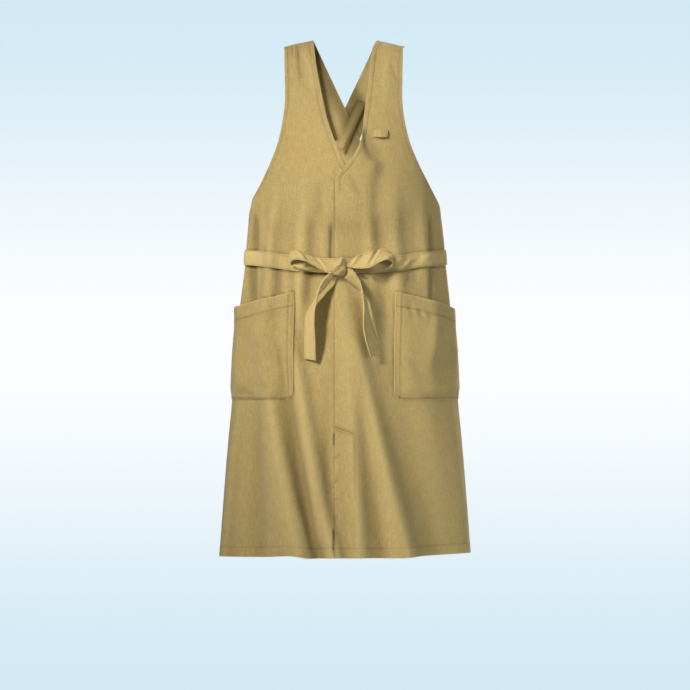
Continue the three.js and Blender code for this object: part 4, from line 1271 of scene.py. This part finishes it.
def twill(name, colours, pitch, relief):
    """A matt cotton twill: diagonal wales, uneven yarns and slow patches of tone."""
    finish = Finish(name)
    flat = finish.add("ShaderNodeUVMap", {"uv_map": "weave"})
    across = finish.add("ShaderNodeSeparateXYZ", {}, (flat,), "X")
    down = finish.add("ShaderNodeSeparateXYZ", {}, (flat,), "Y")
    solid = finish.solid()

    wander = finish.noise(solid, 160.0, 2.0) * 0.9
    turns = 2 * math.pi / pitch
    wale = (across * turns + down * (turns * 1.15) + wander).sine() * 0.5 + 0.5
    slub = finish.yarns(across * 2600.0, down * 240.0)
    filling = finish.yarns(across * 260.0, down * 2400.0)
    streak = finish.yarns(across * 420.0, down * 55.0, 3.0)
    grain = finish.noise(solid, 900.0, 3.0, 0.6)
    mottle = finish.noise(solid, 560.0, 2.0, 0.6)
    patch = finish.noise(solid, 55.0, 3.0)
    broad = finish.noise(solid, 9.0, 2.0)

    tone = wale * 0.35 + slub * 0.45 + filling * 0.3 + grain * 0.5 + mottle * 0.8 + patch * 0.15
    tone = tone + streak * 0.5 + broad * 0.12 - 1.585
    tone = finish.within(tone * 1.3 + 0.5, 0.0, 1.0)
    colour = finish.blend(0.3, finish.blend(tone, colours["shade"], colours["light"]), colours["cloth"])
    # The seam marks recolour the cloth: above zero towards a darker shade, as painted shade and shadow, and
    # below zero towards the lightest yarns, as painted light and highlight, which at edges is partly also
    # the cloth worn pale.
    seam = finish.add("ShaderNodeAttribute", {"attribute_name": "seam"}, (), "Fac")
    colour = finish.blend(finish.within(seam * 0.75, 0.0, 0.92), colour, toned(colours["shade"], 0.4))
    colour = finish.blend(finish.within(seam * -0.68, 0.0, 0.75), colour, colours["light"])

    height = wale * 0.55 + slub * 0.5 + filling * 0.4 + grain * 0.35
    relief = {"Strength": relief, "Distance": 0.0006, "Height": height}
    return finish.shade(
        Base_Color=colour,
        Roughness=0.82 + 0.12 * slub,
        Normal=finish.add("ShaderNodeBump", {}, relief),
        Specular_IOR_Level=0.22,
        Sheen_Weight=0.12,
        Sheen_Roughness=0.45,
    )


def sewing_thread(name, colour):
    """A two-ply thread, lighter than the cloth, with a little gloss."""
    finish = Finish(name)
    fibre = finish.noise(finish.solid(), 2500.0, 2.0)
    relief = {"Strength": 0.3, "Distance": 0.0002, "Height": fibre}
    return finish.shade(
        Base_Color=finish.blend(fibre, toned(colour, 0.8), list(colour)),
        Roughness=0.6 + 0.15 * fibre,
        Normal=finish.add("ShaderNodeBump", {}, relief),
    )


def stitch_tree():
    """Geometry Nodes that lay one small stitch after another along each line."""
    tree = bpy.data.node_groups.new("rows of stitches", "GeometryNodeTree")
    face = tree.interface
    face.new_socket("Lines", in_out="INPUT", socket_type="NodeSocketGeometry")
    inputs = {}
    sizes = {"Spacing": 0.0034, "Length": 0.0026, "Width": 0.0006, "Height": 0.0005}
    for name, value in sizes.items():
        socket = face.new_socket(name, in_out="INPUT", socket_type="NodeSocketFloat")
        socket.default_value, socket.subtype, socket.min_value = value, "DISTANCE", 0.0001
        inputs[name] = socket.identifier
    socket = face.new_socket("Thread", in_out="INPUT", socket_type="NodeSocketMaterial")
    inputs["Thread"] = socket.identifier
    face.new_socket("Stitches", in_out="OUTPUT", socket_type="NodeSocketGeometry")

    nodes = Nodes(tree)

    def given(name):
        return nodes.add("NodeGroupInput", output=name)

    curve = nodes.add("GeometryNodeMeshToCurve", {}, {"Mesh": given("Lines")})
    line = nodes.add(
        "GeometryNodeResampleCurve", {"mode": "LENGTH"}, {"Curve": curve, "Length": given("Spacing")}
    )
    outward = nodes.add(
        "GeometryNodeInputNamedAttribute", {"data_type": "FLOAT_VECTOR"}, {"Name": "outward"}
    )
    facing = nodes.add(
        "FunctionNodeAxesToRotation", {"primary_axis": "Z", "secondary_axis": "X"},
        {"Primary Axis": outward, "Secondary Axis": nodes.add("GeometryNodeInputTangent")},
    )
    uneven = tree.nodes.new("FunctionNodeRandomValue")
    uneven.data_type = "FLOAT"
    draw = {"Min": 0.85, "Max": 1.12, "Seed": 11}
    for socket in uneven.inputs:
        if socket.enabled and socket.name in draw:
            socket.default_value = draw[socket.name]
    drawn = Flow(nodes, next(s for s in uneven.outputs if s.enabled))
    size = (given("Length") * drawn, given("Width"), given("Height"))
    bead = nodes.add("GeometryNodeMeshUVSphere", {}, {"Segments": 6, "Rings": 4, "Radius": 0.5})
    laid = nodes.add("GeometryNodeInstanceOnPoints", {}, {
        "Points": line, "Instance": bead, "Rotation": facing,
        "Scale": nodes.add("ShaderNodeCombineXYZ", {}, size),
    })
    real = nodes.add("GeometryNodeRealizeInstances", {}, {"Geometry": laid})
    sewn = nodes.add("GeometryNodeSetMaterial", {}, {"Geometry": real, "Material": given("Thread")})
    nodes.add("NodeGroupOutput", {}, {"Stitches": sewn})
    return tree, inputs


def stitches(name, lines, tree, inputs, material):
    """All the stitches of one group, as one plain mesh."""
    settings = bpy.context.scene.apron_stitching
    points = np.concatenate([line[0] for line in lines]) * MM
    outward = np.concatenate([line[1] for line in lines])
    starts = np.cumsum([0, *(len(line[0]) for line in lines)])
    edges = [(i, i + 1) for a, b in zip(starts[:-1], starts[1:]) for i in range(a, b - 1)]
    mesh = bpy.data.meshes.new(name)
    mesh.from_pydata([tuple(p) for p in points], edges, [])
    facing = mesh.attributes.new("outward", "FLOAT_VECTOR", "POINT")
    facing.data.foreach_set("vector", outward.astype(np.float32).ravel())
    piece = bpy.data.objects.new(name, mesh)
    bpy.context.scene.collection.objects.link(piece)
    rows = piece.modifiers.new("rows", "NODES")
    rows.node_group = tree
    rows[inputs["Spacing"]] = settings.spacing
    rows[inputs["Length"]] = settings.length
    rows[inputs["Width"]] = settings.width
    rows[inputs["Height"]] = settings.width * 0.8
    rows[inputs["Thread"]] = material
    graph = bpy.context.evaluated_depsgraph_get()
    made = bpy.data.meshes.new_from_object(piece.evaluated_get(graph), depsgraph=graph)
    piece.modifiers.remove(rows)
    piece.data = made
    made.name = name
    made.shade_smooth()
    if not made.polygons:
        raise RuntimeError(f"{name} has no stitches")
    return piece


def measure(name, description, default, low, high):
    return bpy.props.FloatProperty(
        name=name, description=description, default=default, min=low, max=high,
        subtype="DISTANCE", unit="LENGTH",
    )


def strength(name, description, default, high=1000):
    return bpy.props.FloatProperty(
        name=name, description=description, default=default, min=0, max=high, subtype="FACTOR"
    )


def paint(name, description, default):
    return bpy.props.FloatVectorProperty(
        name=name, description=description, size=4, subtype="COLOR", default=default, min=0, max=1
    )


def watts(name, default):
    return bpy.props.FloatProperty(
        name=name, description=f"Power of the {name.lower()} in watts", default=default, min=0
    )


class ApronShape(bpy.types.PropertyGroup):
    cloth: measure("Cloth", "Thickness of the cloth", 0.0012, 0.0005, 0.002)
    tie: measure("Tie", "Thickness of the tie, which is folded double", 0.0018, 0.0008, 0.003)
    hem: measure("Hem", "Depth of the skirt's hem", 0.0185, 0.01, 0.03)
    fold_height: measure("Fold Height", "Height of the main fold at the hem", 0.02, 0, 0.03)
    gather_height: measure("Gather Height", "Height of the gathers at the belt", 0.007, 0, 0.009)


class ApronFabric(bpy.types.PropertyGroup):
    cloth: paint("Cloth", "Main colour of the cloth", (0.39, 0.282, 0.1, 1))
    shade: paint("Shade", "Darkest yarns", (0.22, 0.148, 0.045, 1))
    light: paint("Light", "Lightest yarns", (0.58, 0.445, 0.185, 1))
    thread: paint("Thread", "Colour of the sewing thread", (0.4, 0.3, 0.12, 1))
    pitch: measure("Wale Pitch", "From one diagonal wale to the next", 0.0011, 0.0004, 0.003)
    relief: strength("Relief", "Strength of the weave's relief", 0.5, 1)


class ApronStitching(bpy.types.PropertyGroup):
    spacing: measure("Spacing", "From one stitch to the next", 0.0034, 0.001, 0.01)
    length: measure("Length", "Length of a stitch", 0.0026, 0.0008, 0.008)
    width: measure("Width", "Thickness of the thread", 0.0006, 0.0002, 0.002)


class ApronStage(bpy.types.PropertyGroup):
    distance: measure("Camera Distance", "From the camera to the apron", 15.0, 3, 40)
    view_width: measure("View Width", "Width of the view at the apron", 1.311, 0.5, 3)
    view_middle: measure("View Middle", "Height of the view's middle", -0.5776, -3, 3)
    floor: measure("Floor", "Height of the floor", -1.4, -3, 3)
    key: watts("Key Light", 6.6)
    front: watts("Front Light", 19)
    side: watts("Side Light", 72)
    rear: watts("Rear Light", 130)
    sky: strength("Room Light", "Strength of the light from all round", 0.06)
    backdrop: paint("Backdrop", "Colour of the backdrop's edges", (0.65, 0.82, 0.91, 1))


# How much lighter the tie is than the rest.
TIE_TONE = 1.1
cloths = {}


def cloth(slot):
    """The material of one of the record's slots, made when it is first asked for."""
    if slot not in cloths:
        fabric = bpy.context.scene.apron_fabric
        tone = TIE_TONE if slot == "tie_cloth" else 1.0
        colours = {key: toned(getattr(fabric, key), tone) for key in ("cloth", "shade", "light")}
        if slot == "thread":
            cloths[slot] = sewing_thread("sewing thread", list(fabric.thread))
        else:
            cloths[slot] = twill(slot.replace("_", " "), colours, fabric.pitch, fabric.relief)
    return cloths[slot]


def finish_sheet(piece, nodes):
    """Puts a sheet of cloth on the frame in place of its CAD nodes."""
    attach(piece, "root")
    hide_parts(*nodes)
    return piece


class APRON_OT_body(bpy.types.Operator):
    """Build the two halves of the body, which lap over at the centre front"""

    bl_idname = "apron.body"
    bl_label = "Body"

    def execute(self, context):
        for side in (LEFT, RIGHT):
            piece = body_half(side, cloth("body_cloth"))
            node = f"body_{side.name}"
            finish_sheet(piece, [node])
        sewn_line(np.full(90, 18.0), np.linspace(742, LENGTH - 22, 90), 0.05)
        for drop in (0, 3.2):
            sewn_line(np.linspace(-16, 16.5, 12), np.linspace(731.5, 744, 12) + drop, 0.05)
        for across, depth in (((1, -15), (242, 266)), ((-13, -9), (263, 270)), ((-15, -11), (269, 264))):
            sewn_line(np.linspace(*across, 8), np.linspace(*depth, 8), 0.1)
        return {"FINISHED"}


class APRON_OT_straps(bpy.types.Operator):
    """Build the two shoulder straps and the band that holds them where they cross"""

    bl_idname = "apron.straps"
    bl_label = "Straps"

    def execute(self, context):
        slot = "strap_cloth"
        for side in (LEFT, RIGHT):
            piece = strap(side, cloth(slot))
            node, rest = f"strap_{side.name}", [f"apron_body_{side.name}"]
            finish_sheet(piece, [node])
        keeper = strap_keeper(cloth(slot))
        finish_sheet(keeper, ["strap_keeper"])
        return {"FINISHED"}


class APRON_OT_pen_loop(bpy.types.Operator):
    """Build the pen loop on the right chest"""

    bl_idname = "apron.pen_loop"
    bl_label = "Pen Loop"

    def execute(self, context):
        piece = pen_loop(cloth("body_cloth"))
        finish_sheet(piece, ["pen_loop"])
        return {"FINISHED"}


class APRON_OT_pockets(bpy.types.Operator):
    """Build the two patch pockets"""

    bl_idname = "apron.pockets"
    bl_label = "Pockets"

    def execute(self, context):
        for side in (LEFT, RIGHT):
            piece = pocket(side, cloth("body_cloth"))
            node, rest = f"pocket_{side.name}", [f"apron_body_{side.name}"]
            finish_sheet(piece, [node])
        return {"FINISHED"}


class APRON_OT_tie(bpy.types.Operator):
    """Build the tie round the waist and its bow"""

    bl_idname = "apron.tie"
    bl_label = "Tie and Bow"

    def execute(self, context):
        slot = "tie_cloth"
        belt = waist_belt(cloth(slot))
        finish_sheet(belt, ["waist_belt"])
        knot = bow_knot(cloth(slot))
        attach(knot, "root")
        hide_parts("bow_knot")
        for side, rows, seed in ((LEFT, LOOP_LEFT, 0.6), (RIGHT, LOOP_RIGHT, 2.4)):
            node = f"bow_loop_{side.name}"
            piece, run = bow_loop(f"{node}_ribbon", rows, seed, cloth(slot))
            finish_sheet(piece, [node])
        # The left tail, which faces the key light, is lightened as painted light; the right is not.
        for side, rows, painted_light, seed in ((LEFT, TAIL_LEFT, 0.6, 1.9), (RIGHT, TAIL_RIGHT, 0.0, 3.7)):
            node = f"tie_tail_{side.name}"
            piece, run = tie_tail(f"{node}_ribbon", rows, painted_light, seed, cloth(slot))
            finish_sheet(piece, [node])
        return {"FINISHED"}


class APRON_OT_stitching(bpy.types.Operator):
    """Sew the rows of stitches along hems, edges and pockets"""

    bl_idname = "apron.stitching"
    bl_label = "Stitching"

    def execute(self, context):
        tree, inputs = stitch_tree()
        for group, lines in stitch_lines.items():
            piece = stitches(f"stitches_{group}", lines, tree, inputs, cloth("thread"))
            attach(piece, "root")
        return {"FINISHED"}


def aimed(thing, target):
    """Turns a light or camera towards a point."""
    thing.rotation_euler = (Vector(target) - thing.location).to_track_quat("-Z", "Y").to_euler()


def area_light(name, place, size, power, colour, target, spread=180):
    data = bpy.data.lights.new(name, "AREA")
    data.shape, data.size, data.energy, data.color = "DISK", size, power, colour
    data.spread = math.radians(spread)
    lamp = bpy.data.objects.new(name, data)
    bpy.context.scene.collection.objects.link(lamp)
    lamp.location = place
    aimed(lamp, target)


def studio_room(stage):
    """Light from all round, and a backdrop that is palest at the middle of the view."""
    world = bpy.data.worlds.new("studio room")
    bpy.context.scene.world = world
    world.use_nodes = True
    world.node_tree.nodes.clear()
    room = Nodes(world.node_tree)
    ray = room.add("ShaderNodeTexCoord", {}, (), "Generated")
    level = room.add("ShaderNodeSeparateXYZ", {}, (ray,), "Z").size()
    reach = 0.5 * stage.view_width / stage.distance
    spread = room.add(
        "ShaderNodeMapRange", {"interpolation_type": "SMOOTHSTEP"}, {"Value": level, "From Max": reach}
    )
    tone = room.blend(spread, (0.98, 0.99, 1, 1), stage.backdrop)
    seen = room.add("ShaderNodeBackground", {}, (tone,))
    light = room.add("ShaderNodeBackground", {}, ((0.93, 0.97, 1.0, 1), stage.sky))
    straight = room.add("ShaderNodeLightPath", {}, (), "Is Camera Ray")
    pick = room.add("ShaderNodeMixShader", {}, (straight, light, seen))
    room.add("ShaderNodeOutputWorld", {}, (pick,))


class APRON_OT_stage(bpy.types.Operator):
    """Set up the floor, the studio lights and the camera"""

    bl_idname = "apron.stage"
    bl_label = "Stage"

    def execute(self, context):
        stage = context.scene.apron_stage
        bpy.ops.mesh.primitive_circle_add(
            vertices=96, radius=2.6, fill_type="NGON", location=(0, 0, stage.floor)
        )
        floor = context.active_object
        floor.name = "studio_floor"
        finish = Finish("pale floor")
        speck = finish.noise(finish.solid(), 3.0)
        tone = finish.blend(speck, (0.76, 0.84, 0.88, 1), (0.8, 0.87, 0.91, 1))
        floor.data.materials.append(finish.shade(Base_Color=tone, Roughness=0.9))
        floor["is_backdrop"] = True

        middle = (0, 0, stage.view_middle)
        chest, hem, warm = (0.62, 0, -0.4), (0.55, 0, -0.95), (1, 0.98, 0.95)
        area_light("key", (-2.25, -2.75, 2.0), 0.5, stage.key, warm, chest, 30)
        area_light("low", (-2.5, -2.5, 0.9), 0.5, 0.5 * stage.key, warm, hem, 30)
        area_light("front", (0.0, -4.6, -0.15), 0.4, stage.front, (1, 0.99, 0.98), middle)
        area_light("side", (4, -1.8, 0.2), 1.2, stage.side, (0.97, 0.985, 1), middle)
        area_light("rear", (1.6, 3.4, 1.6), 1.6, stage.rear, (1, 1, 1), middle)
        studio_room(stage)

        data = bpy.data.cameras.new("camera")
        data.sensor_width = 36
        data.lens = data.sensor_width * stage.distance / stage.view_width
        data.clip_start, data.clip_end = 0.1, 100
        camera = bpy.data.objects.new("camera", data)
        context.scene.collection.objects.link(camera)
        camera.location = (0, -stage.distance, stage.view_middle)
        aimed(camera, (0, 0, stage.view_middle))
        context.scene.camera = camera
        context.scene.view_settings.view_transform = "Standard"
        return {"FINISHED"}


class APRON_PT_panel(bpy.types.Panel):
    """Lists the steps that build the apron"""

    bl_idname = "APRON_PT_panel"
    bl_label = "Cross Back Apron"
    bl_space_type = "VIEW_3D"
    bl_region_type = "UI"
    bl_category = "Apron"

    def draw(self, context):
        for group in ("apron_shape", "apron_fabric", "apron_stitching", "apron_stage"):
            settings = getattr(context.scene, group)
            box = self.layout.box()
            for name in settings.__annotations__:
                box.prop(settings, name)
        for operator in OPERATORS:
            self.layout.operator(operator.bl_idname)


SETTINGS = {
    "apron_shape": ApronShape,
    "apron_fabric": ApronFabric,
    "apron_stitching": ApronStitching,
    "apron_stage": ApronStage,
}
OPERATORS = (
    APRON_OT_body,
    APRON_OT_straps,
    APRON_OT_pen_loop,
    APRON_OT_pockets,
    APRON_OT_tie,
    APRON_OT_stitching,
    APRON_OT_stage,
)


def register():
    for group in SETTINGS.values():
        bpy.utils.register_class(group)
    for name, group in SETTINGS.items():
        setattr(bpy.types.Scene, name, bpy.props.PointerProperty(type=group))
    for operator in (*OPERATORS, APRON_PT_panel):
        bpy.utils.register_class(operator)


def unregister():
    for operator in (APRON_PT_panel, *reversed(OPERATORS)):
        bpy.utils.unregister_class(operator)
    for name in SETTINGS:
        delattr(bpy.types.Scene, name)
    for group in reversed(SETTINGS.values()):
        bpy.utils.unregister_class(group)


def corners(box):
    return [[float(value) for value in corner] for corner in box]


def main():
    register()
    bpy.ops.apron.body()
    bpy.ops.apron.straps()
    bpy.ops.apron.pen_loop()
    bpy.ops.apron.pockets()
    bpy.ops.apron.tie()
    bpy.ops.apron.stitching()
    bpy.ops.apron.stage()
    {"cad": corners(CAD_BOX), "visual": corners(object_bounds())}


if __name__ == "__main__":
    main()
